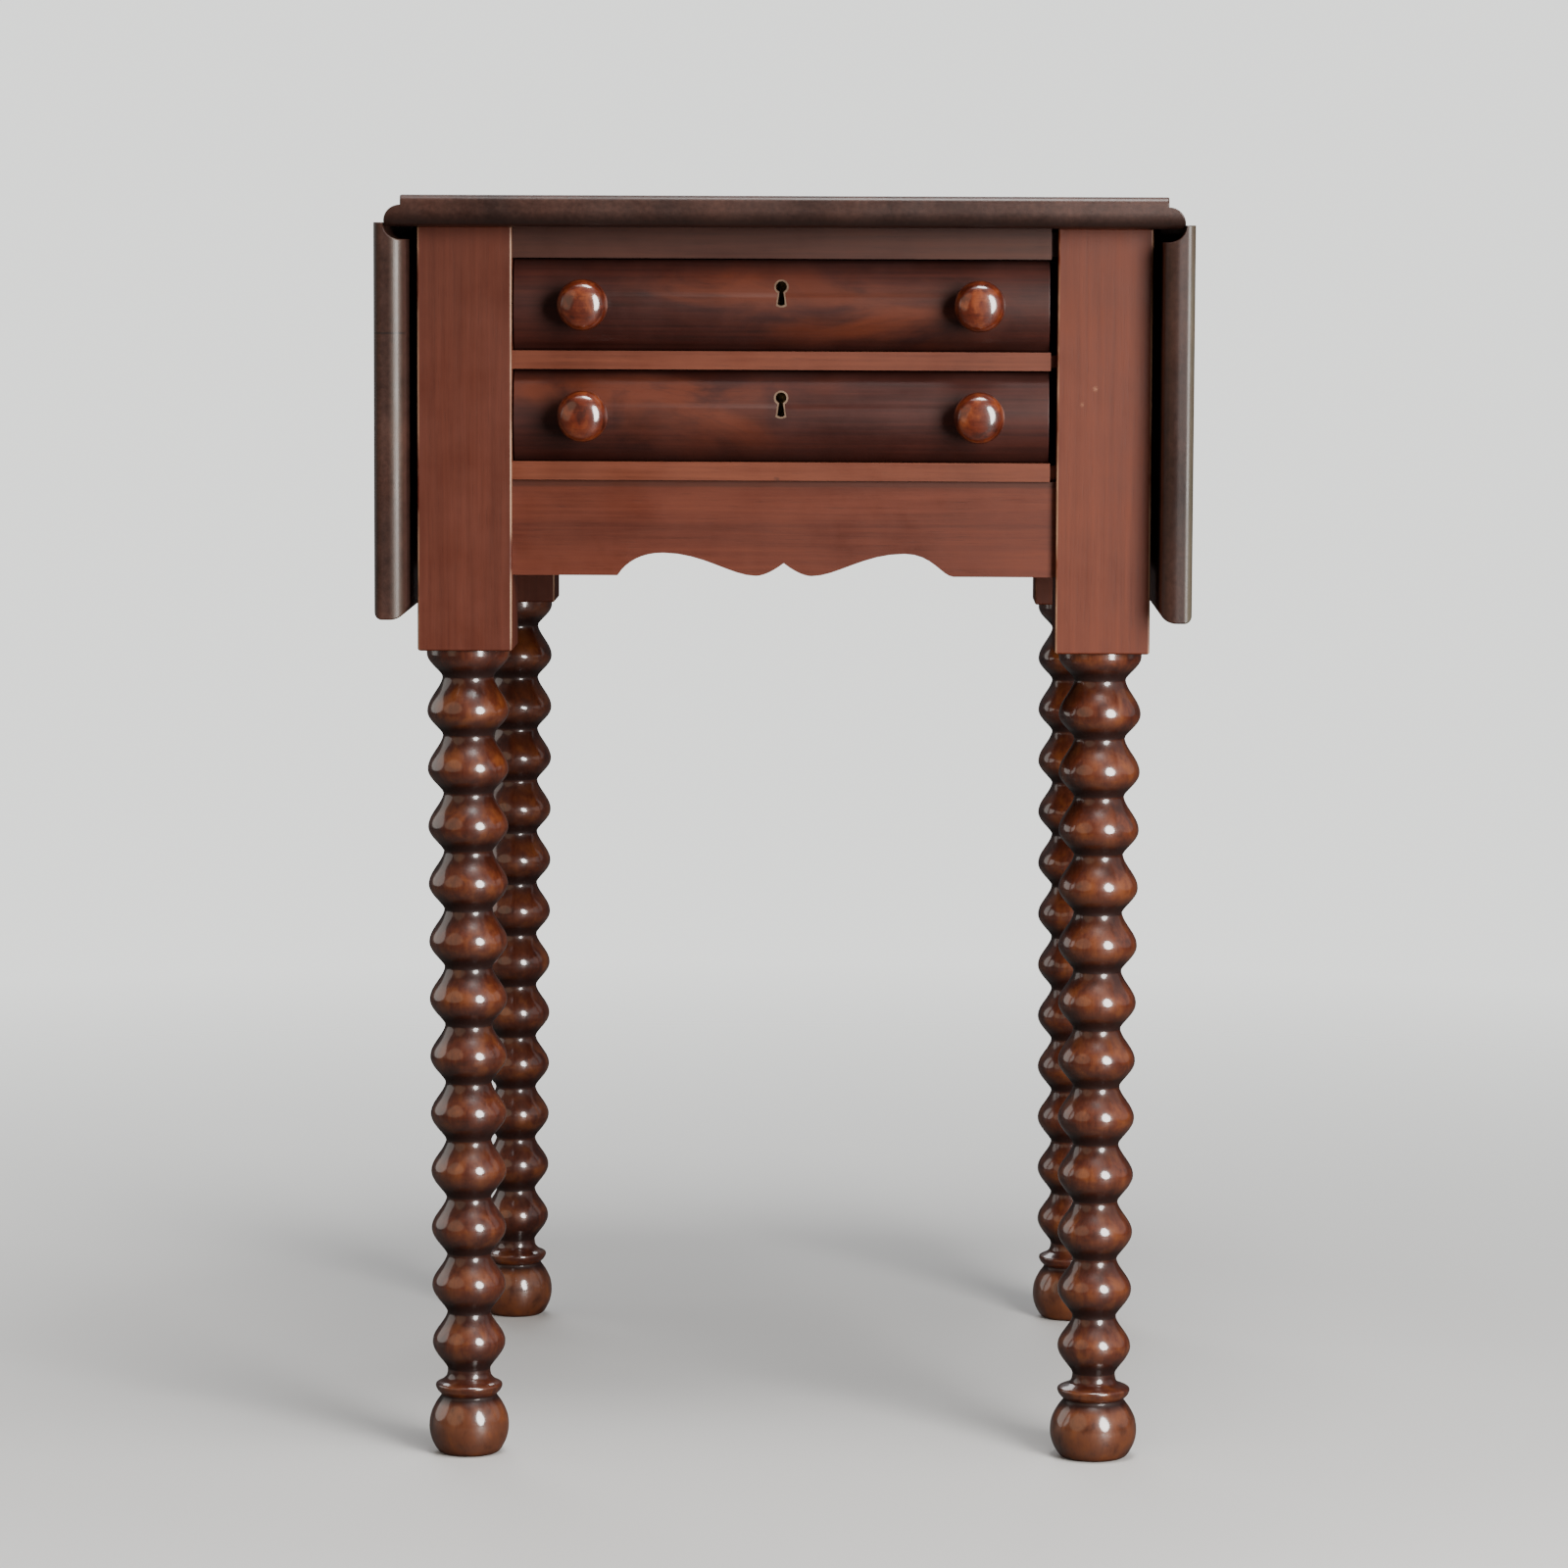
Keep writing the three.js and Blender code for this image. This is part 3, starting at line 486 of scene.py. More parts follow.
def haze_and_reflection_strip(inner, outer, shade, strength, crack=None):
    """Hazed varnish and a painted reflection on a hanging leaf's two ends, from x inner to outer.

    With crack, a fine crack runs across the ends at that height.
    """

    def tint(n, colour):
        parts = n.position()
        left, right = sorted((inner, outer))
        soft = (right - left) * 0.45
        rises = n.range(parts["X"], left, left + soft)
        falls = n.range(parts["X"], right, right - soft)
        depth = n.math("ABSOLUTE", parts["Y"])
        at_end = n.range(depth, TOP_HALF_DEPTH - 7.5 * MM, TOP_HALF_DEPTH - 5.5 * MM)
        streaks = n.range(n.noise(n.place((60, 60, 9)), detail=5), 0.3, 0.55, 0.35, 1.0)
        haze_and_reflection = n.times(n.times(n.times(rises, falls), at_end), streaks)
        colour = n.mix(n.times(haze_and_reflection, strength), colour, shade)
        if crack is None:
            return colour
        away = n.math("ABSOLUTE", n.minus(parts["Z"], crack))
        line = n.times(n.range(away, 0.8 * MM, 0.3 * MM), at_end)
        return n.mix(n.times(line, 0.8), colour, CRACK)

    return tint


def flame(seed, patches):
    """Fiery figure in the veneer: soft orange patches at (x, z, width, height) on the front."""

    def tint(n, colour):
        place = n.place((16, 6, 34), (seed, seed, seed))
        swirl = n.noise(place, detail=5, distortion=1.2)
        parts = n.position()
        total = 0.0
        for x, z, width, height in patches:
            dx = n.math("DIVIDE", n.minus(parts["X"], x), width)
            dz = n.math("DIVIDE", n.minus(parts["Z"], z), height)
            square = n.add(n.times(dx, dx), n.times(dz, dz))
            total = n.add(total, n.math("POWER", math.e, n.times(square, -1.0)))
        glow = n.times(total, n.range(swirl, 0.32, 0.62))
        return n.mix(n.range(glow, 0.05, 0.9, 0.0, 0.75), colour, FLAME_ORANGE)

    return tint


RED = ((0.088, 0.0165, 0.0068), (0.123, 0.0245, 0.0102), (0.158, 0.034, 0.0148))
BROWN = ((0.092, 0.0175, 0.0058), (0.152, 0.033, 0.0118), (0.210, 0.051, 0.0195))
DARK = ((0.024, 0.0080, 0.0052), (0.047, 0.0170, 0.0112), (0.077, 0.0290, 0.0190))
VENEER = ((0.017, 0.0020, 0.0008), (0.042, 0.0050, 0.0018), (0.072, 0.0100, 0.0034))
LEG = ((0.055, 0.0090, 0.0036), (0.112, 0.0210, 0.0066), (0.180, 0.0420, 0.0120))
KNOB = ((0.070, 0.0085, 0.0018), (0.140, 0.0190, 0.0042), (0.220, 0.0370, 0.0090))
BARE = ((0.24, 0.135, 0.06), (0.38, 0.235, 0.12), (0.50, 0.34, 0.19))
SATIN = (0.42, 0.6)
# Dirt and painted shade along the drawer fronts' upper and lower edges.
VENEER_EDGE_DIRT_AND_SHADE = (0.012, 0.0020, 0.0012)
VENEER_EDGE_REACH = 9 * MM
# Pale strips on the leaves' ends: hazed varnish and painted reflection of the light on the right.
LEFT_HAZE_AND_REFLECTION = (0.155, 0.108, 0.070)
RIGHT_HAZE_AND_REFLECTION = (0.18, 0.165, 0.112)


def veneer(level, seed, patches):
    """The drawer front's figured veneer, with dirt and painted shade darkening it towards its upper
    and lower edges.
    """
    low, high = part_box(f"{level}_drawer_front")
    edges = ((high.z - VENEER_EDGE_REACH, high.z), (low.z + VENEER_EDGE_REACH, low.z))
    return wood(
        f"{level}_veneer", *VENEER, "x", seed, gloss=(0.42, 0.56), coat=(0.10, 0.20), pores=0.2,
        extra=(flame(seed, patches), *(band("Z", *edge, VENEER_EDGE_DIRT_AND_SHADE, 0.85) for edge in edges)),
    )


LEFT_POST_WOOD = wood(
    "left_post_wood", *RED, "z", 1.7, gloss=SATIN, pores=0.2, extra=(edge_wear,)
)
# The right posts' colour is the left posts' made lighter and more orange: painted light from the
# right.
RIGHT_POST_LIT_WOOD = wood(
    "right_post_lit_wood", *scaled(RED, 1.12, 1.02, 0.74), "z", 1.7, gloss=SATIN, pores=0.2,
    extra=(
        edge_wear,
        spot((0.1767, -0.240, 0.6216), 1.5 * MM, (0.40, 0.17, 0.09), 0.65),
        spot((0.1694, -0.240, 0.6127), 1.2 * MM, (0.34, 0.14, 0.07), 0.65),
    ),
)
RAIL_WOOD = wood("rail_wood", *BROWN, "x", 4.1, gloss=SATIN, pores=0.25)
# The top rail's colour is the rail colour darkened: painted shadow cast by the top's overhang.
TOP_RAIL_SHADED_WOOD = wood(
    "top_rail_shaded_wood", *scaled(BROWN, 0.34, 0.33, 0.34), "x", 4.1, gloss=SATIN, pores=0.25
)
WORN_WOOD = wood(
    "worn_arris", BROWN[1], BROWN[2], (0.29, 0.105, 0.052), "x", 2.1, gloss=(0.5, 0.65), pores=0.1
)
BOTTOM_RAIL_WOOD = wood(
    "bottom_rail_wood", *BROWN, "x", 6.1, gloss=SATIN, pores=0.25,
    extra=(spot((-0.004, -0.2365, 0.5695), 1.7 * MM, (0.030, 0.007, 0.003)),),
)
apron_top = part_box("front_apron")[1].z
APRON_WOOD = wood(
    "apron_wood", *scaled(BROWN, 0.77, 0.60, 0.50), "x", 5.4, gloss=SATIN, pores=0.25,
    extra=(
        # Painted shadow: a dark orange line along the apron's top, under the bottom rail.
        band("Z", apron_top - 4.2 * MM, apron_top - 2.8 * MM, (0.075, 0.014, 0.004), 0.9, MM),
    ),
)
PANEL_WOOD = wood("panel_wood", *RED, "y", 6.3, gloss=(0.45, 0.65))
BACK_WOOD = wood("back_wood", *scaled(RED, 1.1), "x", 8.9, gloss=(0.5, 0.7))
TOP_WOOD = wood(
    "top_wood", *DARK, "y", 2.9, gloss=(0.34, 0.5), coat=(0.25, 0.22),
    # Painted shade: the top darkens on the lower part of its edges and on its underside.
    extra=(band("Z", AXIS_Z + 6.5 * MM, AXIS_Z, (0.012, 0.005, 0.004), 0.75, 1.5 * MM),),
)
hanging_face = HINGE_X + UNDER
LEAF_WOOD = {
    "left": wood(
        "left_leaf_wood", *DARK, "y", 2.9, gloss=(0.36, 0.5), coat=(0.3, 0.32), pores=0.25,
        extra=(haze_and_reflection_strip(-hanging_face, -hanging_face - UNDERCUT_HEIGHT, LEFT_HAZE_AND_REFLECTION, 0.42, 0.652),),
    ),
    # The right leaf's colour is the left leaf's darkened: painted shade.
    "right": wood(
        "right_leaf_shaded_wood", *scaled(DARK, 0.75), "y", 2.9,
        gloss=(0.36, 0.5), coat=(0.3, 0.32), pores=0.25,
        extra=(
            haze_and_reflection_strip(HINGE_X + AXIS_DEPTH - 5 * MM, HINGE_X + AXIS_DEPTH + 2 * MM, RIGHT_HAZE_AND_REFLECTION, 0.5),
        ),
    ),
}
LEG_WOOD = wood(
    "turned_wood", *LEG, "z", 5.3,
    gloss=(0.32, 0.46), coat=(1.0, 0.12), coat_index=2.0, pores=0.25, dulled_by="hollow",
    extra=(
        band("Z", 34 * MM, 27 * MM, (0.24, 0.080, 0.030), 0.45),
        mottled(85, (0.28, 0.078, 0.0180), (0.032, 0.0048, 0.0022)),
        neck_dirt_and_under_bobbin_shade,
    ),
)
KNOB_WOOD = wood(
    "knob_wood", *KNOB, "x", 7.7, gloss=(0.3, 0.42), coat=(1.0, 0.12), coat_index=2.0, pores=0.45,
    extra=(mottled(120, (0.30, 0.068, 0.0180), (0.040, 0.0050, 0.0015), 0.8),),
)
FRONT_WOOD = {
    "upper": veneer(
        "upper", 3.3, [(0.055, 0.664, 0.075, 0.020), (-0.035, 0.678, 0.045, 0.010)]
    ),
    "lower": veneer(
        "lower", 9.1,
        [
            (-0.045, 0.606, 0.05, 0.020),
            (-0.115, 0.617, 0.035, 0.010),
            (-0.085, 0.6205, 0.10, 0.007),
        ],
    ),
}
BARE_WOOD = {
    axis: wood(f"bare_wood_{axis}", *BARE, axis, seed, gloss=(0.62, 0.85))
    for axis, seed in (("x", 1.1), ("y", 2.1))
}
IRON = metal("old_iron", (0.11, 0.095, 0.082), (0.10, 0.045, 0.022), (0.45, 0.75), 0.85, 3.0)
BRASS = metal("tarnished_brass", (0.42, 0.30, 0.13), (0.16, 0.10, 0.045), (0.32, 0.55), 1.0, 5.0)
LINER = metal("keyhole_liner", (0.27, 0.18, 0.12), (0.11, 0.055, 0.032), (0.4, 0.6), 0.3, 7.0)


def dress(obj, *materials):
    obj.data.materials.clear()
    for material in materials:
        obj.data.materials.append(material)


# ------------------------------------------------------------------ legs


def bobbin(phase):
    """How full a bobbin is, 1 at its crest and 0 in its neck, and how far above the crest it is.

    A phase is a height in bobbin pitches above the lowest crest.
    """
    rise = lerp(NECK_RISE, phase / BOBBIN_COUNT)
    above = phase - math.floor(phase - rise + 0.5)
    share = above / (0.5 + rise) if above > 0 else -above / (0.5 - rise)
    return max(math.cos(share * math.pi / 2), 0) ** (1.7 if above > 0 else 1.3), above


def bobbin_radius(phase):
    up = phase / BOBBIN_COUNT
    crest, neck = lerp(BOBBIN_RADIUS, up), lerp(NECK_RADIUS, up)
    return neck + (crest - neck) * bobbin(phase)[0]


def leg_profile(foot):
    """(radius, height) from the floor to just inside the post."""
    # Share of the ball's radius, and height in mm.
    ball = [(0.69, 0.0), (0.775, 1.2), (0.86, 4.0), (0.955, 9.0)]
    ball += [(1.0, 15.5), (0.965, 22.5), (0.85, 28.6), (0.72, 33.0)]
    points = curve_through([(r * foot, z * MM) for r, z in ball], 5)
    points += [(0.70 * foot, 33.8 * MM), (0.70 * foot, 34.5 * MM)]
    ring = 0.84 * foot  # the lip above the ball, out from this radius, in mm
    lip = [(-2.8, 35.1), (-1.2, 36.8), (-0.2, 38.8), (-0.1, 40.2), (-0.9, 41.2), (-3.2, 42.3)]
    lip = [(ring + r * MM, z * MM) for r, z in lip]
    lip += [(14.8 * MM, 43.4 * MM), (13.3 * MM, 45.0 * MM), (12.6 * MM, 47.2 * MM)]
    first = -0.46  # the phase where the bobbins take over from the ring
    below = first - 0.01
    lip.append((bobbin_radius(below), LOWEST_BOBBIN + below * BOBBIN_PITCH))
    points += curve_through(lip, 4)[:-1]
    per_bobbin = 22
    for i in range(int((BOBBIN_COUNT + 0.5) * per_bobbin)):
        phase = i / per_bobbin + first
        height = LOWEST_BOBBIN + phase * BOBBIN_PITCH
        if height < POST_FOOT:
            points.append((bobbin_radius(phase), height))
    end = POST_FOOT + POST_OVERLAP
    return [(0, 0), *points, (BOBBIN_RADIUS[1], end), (0, end)]


def post_loops(cx, cy, top):
    """The square post's outline, eased at its foot and its top."""
    eased = [(1.1, 0), (0.45, 0.35), (0, 1.1)]  # inset and height, mm
    loops = [(POST / 2 - inset * MM, POST_FOOT + z * MM) for inset, z in eased]
    loops += [(POST / 2, top - 0.4 * MM), (POST / 2 - 0.4 * MM, top)]
    return [
        rounded_rectangle(cx - half, cx + half, cy - half, cy + half, POST_CORNER, z)
        for half, z in loops
    ]


def make_leg(name):
    low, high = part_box(name)
    centre_x = (low.x + high.x) / 2
    centre_y = (low.y + high.y) / 2
    profile = leg_profile(FOOT_RADIUS[name])
    verts, faces = lathe(profile, (centre_x, centre_y, 0))
    turned = len(faces)
    post_verts, post_faces = stack(post_loops(centre_x, centre_y, high.z), len(verts))
    leg = mesh_object(f"{name}_turned", verts + post_verts, faces + post_faces, 40)
    # hollow: dirt and dull varnish in the bobbins' necks, plus painted shade, strongest under each
    # bobbin and under the lip over the ball.
    hollow = leg.data.attributes.new("hollow", "FLOAT", "POINT")
    arris = leg.data.attributes.new("arris", "FLOAT", "POINT")
    for i, vertex in enumerate(leg.data.vertices):
        if i >= len(verts):
            on_corner = 0 < (i - len(verts)) % CORNER_POINTS < CORNER_POINTS - 1
            arris.data[i].value = 1.0 if on_corner else 0.0
        elif vertex.co.z < BALL_TOP:
            hollow.data[i].value = lerp((0, 0.8), (vertex.co.z - 28 * MM) / (6 * MM))
        else:
            fullness, above = bobbin((vertex.co.z - LOWEST_BOBBIN) / BOBBIN_PITCH)
            hollow.data[i].value = (1 - fullness) * (0.45 if above > 0 else 1.0)
    dress(leg, LEG_WOOD, RIGHT_POST_LIT_WOOD if "right" in name else LEFT_POST_WOOD)
    for polygon in leg.data.polygons:
        polygon.material_index = 1 if polygon.index >= turned else 0
    weighted_normals(leg)
    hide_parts(name)
    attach(leg, "case")


for leg_name in FOOT_RADIUS:
    make_leg(leg_name)

# ------------------------------------------------------------------ top and leaves


def moulding(z):
    """How far the fillet and ovolo reach past the rule joint's axis, z above it."""
    if z >= OVOLO:
        rounding = 0.8 * MM
        drop = max(z - (AXIS_DEPTH - rounding), 0)
        return math.sqrt(max(rounding**2 - drop**2, 0)) - rounding
    if z >= 0:
        return math.sqrt(max(OVOLO**2 - z**2, 0))
    return OVOLO - 0.6 * MM * z / UNDER


def hollow_cove(z):
    """Where the leaf begins, z above the axis."""
    radius = OVOLO + RULE_GAP
    if z >= radius:
        return RULE_GAP
    return max(math.sqrt(radius**2 - max(z, 0) ** 2), RULE_GAP)


def quarter_round(share):
    """How far a quarter circle has drawn back at a share of its height, of its depth."""
    return 1 - math.sqrt(max(1 - share**2, 0))


def nosing_inset(z):
    """How far a rounded edge has drawn back, z above the axis."""
    above = max(z - (AXIS_DEPTH - NOSING), 0) / NOSING
    below = max(UNDER + UNDERCUT_HEIGHT - z, 0) / UNDERCUT_HEIGHT
    return NOSING * quarter_round(above) + UNDERCUT_DEPTH * quarter_round(below)


def board_heights():
    """Heights where a board's section bends, from its underside to its top."""
    heights = {AXIS_DEPTH - drop * MM for drop in (0, 0.1, 0.3, 0.8)}
    heights |= {OVOLO + 0.01 * MM, OVOLO + RULE_GAP, 0.0, UNDER}
    steps = 12
    for i in range(steps + 1):
        a = math.pi / 2 * i / steps
        heights |= {OVOLO * math.cos(a), (OVOLO + RULE_GAP) * math.sin(a)}
        heights.add(AXIS_DEPTH - NOSING * (1 - math.sin(a)))
        heights.add(UNDER + UNDERCUT_HEIGHT * (1 - math.sin(a)))
    ordered = sorted(heights)
    least = 0.02 * MM
    return [a for a, b in zip(ordered, ordered[1:]) if b - a > least] + [ordered[-1]]


def hinge_recesses(side, sign):
    """Room for this side's hinge plates and knuckles, in the top and in the leaf."""
    room, knuckle, below = 0.3 * MM, 2.9 * MM, 9 * MM
    axis_x = sign * HINGE_X
    in_top, in_leaf = [], []
    for end in ("front", "back"):
        name = f"{side}_{end}_hinge"
        low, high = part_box(f"{name}_fixed_plate")
        y0, y1 = low.y - room, high.y + room
        inner = low.x if sign > 0 else high.x
        x0, x1 = sorted((inner - sign * room, axis_x + sign * (OVOLO + MM)))
        z0, z1 = AXIS_Z - below, AXIS_Z - 0.5 * MM
        in_top.append(box_object("cutter", (x0, y0, z0), (x1, y1, z1)))
        x0, x1 = axis_x - knuckle, axis_x + knuckle
        in_top.append(box_object("cutter", (x0, y0, z0), (x1, y1, AXIS_Z + knuckle)))
        plate_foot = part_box(f"{name}_leaf_plate")[0].z
        x0, x1 = sorted((axis_x - sign * 9 * MM, axis_x - sign * 0.5 * MM))
        z0, z1 = plate_foot - room, AXIS_Z - OVOLO + MM
        in_leaf.append(box_object("cutter", (x0, y0, z0), (x1, y1, z1)))
    return in_top, in_leaf


def make_top(recesses):
    loops = []
    for z in board_heights():
        x, y = HINGE_X + moulding(z), TOP_HALF_DEPTH - nosing_inset(z)
        loops.append(rounded_rectangle(-x, x, -y, y, BOARD_CORNER, AXIS_Z + z))
    verts, faces = stack(loops)
    top = mesh_object("moulded_top", verts, faces, 30)
    cut(top, recesses)
    smooth(top, 30)
    weighted_normals(top)
    dress(top, TOP_WOOD)
    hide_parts("fixed_top")
    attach(top, "case")


def make_leaf(side, sign, recesses):
    """Drawn lying level with its joint on the left, then turned to hang."""
    loops = []
    for z in board_heights():
        inset = nosing_inset(z)
        y = TOP_HALF_DEPTH - inset
        loop = rounded_rectangle(hollow_cove(z), LEAF_WIDTH - inset, -y, y, BOARD_CORNER, z)
        loops.append([(sign * (HINGE_X + c), sign * b, AXIS_Z - a) for a, b, c in loop])
    verts, faces = stack(loops)
    leaf = mesh_object(f"{side}_moulded_leaf", verts, faces, 30)
    cut(leaf, recesses)
    smooth(leaf, 30)
    weighted_normals(leaf)
    dress(leaf, LEAF_WOOD[side])
    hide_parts(f"{side}_leaf_board")
    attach(leaf, f"{side}_leaf")


top_recesses = []
for side, sign in SIDES:
    in_top, in_leaf = hinge_recesses(side, sign)
    top_recesses += in_top
    make_leaf(side, sign, in_leaf)
make_top(top_recesses)

# ------------------------------------------------------------------ drawers


def cushion_y(z, low, high, edge):
    """The drawer front's face at height z, between its lower and upper edges."""
    half = (high - low) / 2
    radius = (half**2 + FRONT_BULGE**2) / (2 * FRONT_BULGE)
    off = z - (low + high) / 2
    return edge - FRONT_BULGE + radius - math.sqrt(radius**2 - off**2)


def keyhole_outline(cx, cz, extra, count=12):
    """Keyhole round the middle of its head, let out by extra."""
    head, neck, foot, drop = 3.1 * MM + extra, 1.1 * MM + extra, 2.1 * MM + extra, 10.8 * MM + extra
    start = math.asin(neck / head)
    points = []
    for i in range(2 * count + 1):
        a = -math.pi / 2 + start + (2 * math.pi - 2 * start) * i / (2 * count)
        points.append((cx + head * math.cos(a), cz + head * math.sin(a)))
    for i in range(count + 1):
        t = -1 + 2 * i / count
        points.append((cx + foot * t, cz - drop + MM * (1 - 0.9 * (1 - t * t))))
    return points


def prism(name, outline, y0, y1):
    """A solid with this (x, z) outline, from y0 to y1."""
    count = len(outline)
    verts = [(x, y0, z) for x, z in outline] + [(x, y1, z) for x, z in outline]
    faces = [tuple(range(count)), tuple(reversed(range(count, 2 * count)))]
    faces += [(i, count + i, count + (i + 1) % count, (i + 1) % count) for i in range(count)]
    return mesh_object(name, verts, faces)


def copy_of(node):
    """A solid with the node's own shape, to cut with."""
    made = bpy.data.objects.new("cutter", nodes[node].data.copy())
    bpy.context.scene.collection.objects.link(made)
    bm = bmesh.new()
    bm.from_mesh(made.data)
    bmesh.ops.remove_doubles(bm, verts=bm.verts, dist=1e-6)
    bm.to_mesh(made.data)
    bm.free()
    return made


def make_front(level):
    """Makes the drawer's front, and returns the y of its upper and lower edges."""
    name = f"{level}_drawer_front"
    low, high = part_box(name)
    edge = low.y + FRONT_BULGE
    steps = 40
    section = [(high.y, low.z), (high.y, high.z)]
    for i in range(steps + 1):
        z = high.z - (high.z - low.z) * i / steps
        section.append((cushion_y(z, low.z, high.z, edge), z))
    count = len(section)
    verts = [(x, y, z) for x in (low.x, high.x) for y, z in section]
    faces = [tuple(reversed(range(count))), tuple(range(count, 2 * count))]
    faces += [(i, (i + 1) % count, count + (i + 1) % count, count + i) for i in range(count)]
    front = mesh_object(f"{name}_cushion", verts, faces, 30)
    apply_modifier(front, soften(front, 0.5 * MM))
    liner_low, liner_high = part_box(f"{level}_keyhole_liner")
    head_z = liner_high.z - KEYHOLE_HEAD_DROP
    cx = (liner_low.x + liner_high.x) / 2
    gap = Vector((CUT_GAP, CUT_GAP, CUT_GAP))
    lock_low, lock_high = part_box(f"{level}_lock_case")
    bottom_low, bottom_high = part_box(f"{level}_drawer_bottom")
    before, behind = low.y - 2 * MM, high.y + 2 * MM
    let_in = keyhole_outline(cx, head_z, LINER_WIDTH + 0.02 * MM)
    lock_end = (lock_high.x + CUT_GAP, high.y + MM, high.z + MM)
    groove_end = (bottom_high.x + CUT_GAP, high.y + MM, bottom_high.z + CUT_GAP)
    cutters = [
        prism("cutter", let_in, before, liner_high.y),
        prism("cutter", keyhole_outline(cx, head_z, 0), before, behind),
        box_object("cutter", lock_low - gap, lock_end),
        box_object("cutter", bottom_low - gap, groove_end),
        copy_of(f"{level}_drawer_left_side"),
        copy_of(f"{level}_drawer_right_side"),
    ]
    cut(front, cutters)
    smooth(front, 30)
    weighted_normals(front)
    dress(front, FRONT_WOOD[level])
    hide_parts(name)
    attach(front, f"{level}_drawer")
    make_liner(level, cx, head_z, low, high, edge, liner_high.y)
    return edge


def make_liner(level, cx, cz, low, high, edge, back):
    """A thin ring round the keyhole, flush with the bulging front."""
    outer = keyhole_outline(cx, cz, LINER_WIDTH, 16)
    inner = keyhole_outline(cx, cz, 0, 16)
    count = len(outer)

    def face_y(z):
        return cushion_y(z, low.z, high.z, edge)

    verts = [(x, face_y(z), z) for x, z in outer] + [(x, face_y(z), z) for x, z in inner]
    verts += [(x, back, z) for x, z in inner] + [(x, back, z) for x, z in outer]
    faces = []
    for ring in range(4):
        a, b = ring * count, ((ring + 1) % 4) * count
        faces += [(a + i, a + (i + 1) % count, b + (i + 1) % count, b + i) for i in range(count)]
    liner = mesh_object(f"{level}_liner_ring", verts, faces, 40)
    dress(liner, LINER)
    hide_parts(f"{level}_keyhole_liner")
    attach(liner, f"{level}_drawer")


def knob_profile():
    """(radius, distance out of the drawer front)"""
    neck = [(KNOB_NECK, 0), (7.2 * MM, 2.6 * MM), (8.4 * MM, 5.8 * MM)]
    rim = [(-2.0, 8.6), (-0.2, 11.6), (0, 13.2), (-0.8, 16.9), (-2.9, 20.2)]
    rim = [(KNOB_RADIUS + r * MM, z * MM) for r, z in rim]
    face = [(KNOB_RADIUS - 6.3 * MM, -0.95), (KNOB_RADIUS - 9.6 * MM, -0.25), (1.2 * MM, -0.02)]
    face = [(r, KNOB_REACH + z * MM) for r, z in face]
    outline = curve_through([*neck, *rim, *face], 5)
    return [(0, -6 * MM), (KNOB_NECK, -6 * MM), *outline, (0, KNOB_REACH)]


def make_knob(level, side, face_y):
    name = f"{level}_{side}_knob"
    low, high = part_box(name)
    centre = ((low.x + high.x) / 2, face_y, (low.z + high.z) / 2)
    verts, faces = lathe(knob_profile(), centre, 56, "y")
    knob = mesh_object(f"{name}_turned", verts, faces, 40)
    dress(knob, KNOB_WOOD)
    weighted_normals(knob)
    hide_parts(name)
    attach(knob, f"{level}_drawer")


for level in LEVELS:
    edge_y = make_front(level)
    for side, _ in SIDES:
        make_knob(level, side, edge_y - FRONT_BULGE)

# ------------------------------------------------------------------ screws


SCREW_SINK = 2.65 * MM  # from the hinge's axis to the face of its plates


def screw_head(name, centre, outward, radius, slot_angle):
    """A slotted countersunk head lying flush, facing outward."""
    profile = [(0, -1.2 * MM), (radius * 0.5, -1.2 * MM), (radius, -0.15 * MM)]
    profile += [(radius * 0.94, 0.05 * MM), (0, 0.12 * MM)]
    head = mesh_object(name, *lathe(profile, (0, 0, 0), 24), 30)
    half = 0.35 * MM
    slot = box_object("cutter", (-radius * 1.2, -half, -half), (radius * 1.2, half, MM))
    slot.data.transform(Matrix.Rotation(slot_angle, 4, "Z"))
    cut(head, [slot])
    turn = Vector((0, 0, 1)).rotation_difference(Vector(outward))
    head.data.transform(Matrix.Translation(centre) @ turn.to_matrix().to_4x4())
    smooth(head, 30)
    return head


def hinge_screws():
    radius, turn = 2.9 * MM, 0.4
    for side, sign in SIDES:
        for end in ("front", "back"):
            name = f"{side}_{end}_hinge"
            low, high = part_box(f"{name}_fixed_plate")
            middle = (low.y + high.y) / 2
            inner = low.x if sign > 0 else high.x
            for i, (dx, dy) in enumerate(((6, 10), (6, -10), (19, 0))):
                turn += 1.1
                centre = (inner + sign * dx * MM, middle + dy * MM, AXIS_Z - SCREW_SINK)
                head = screw_head(f"{name}_top_screw_{i}", centre, (0, 0, -1), radius, turn)
                dress(head, IRON)
                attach(head, "case")
            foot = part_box(f"{name}_leaf_plate")[0].z
            face_x = sign * (HINGE_X - SCREW_SINK)
            for i, (dz, dy) in enumerate(((7, 10), (7, -10), (26, 0))):
                turn += 0.9
                centre = (face_x, middle + dy * MM, foot + dz * MM)
                head = screw_head(f"{name}_leaf_screw_{i}", centre, (-sign, 0, 0), radius, turn)
                dress(head, IRON)
                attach(head, f"{side}_leaf")


def lock_screws():
    for level in LEVELS:
        low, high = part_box(f"{level}_lock_case")
        xs, zs = (low.x + 4 * MM, high.x - 4 * MM), (low.z + 4 * MM, high.z - 5 * MM)
        for i, (z, x) in enumerate((z, x) for z in zs for x in xs):
            centre = (x, high.y + 0.03 * MM, z)
            head = screw_head(f"{level}_lock_screw_{i}", centre, (0, 1, 0), 2 * MM, 0.7 * i)
            dress(head, BRASS)
            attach(head, f"{level}_drawer")


hinge_screws()
lock_screws()

# ------------------------------------------------------------------ carried-over solids

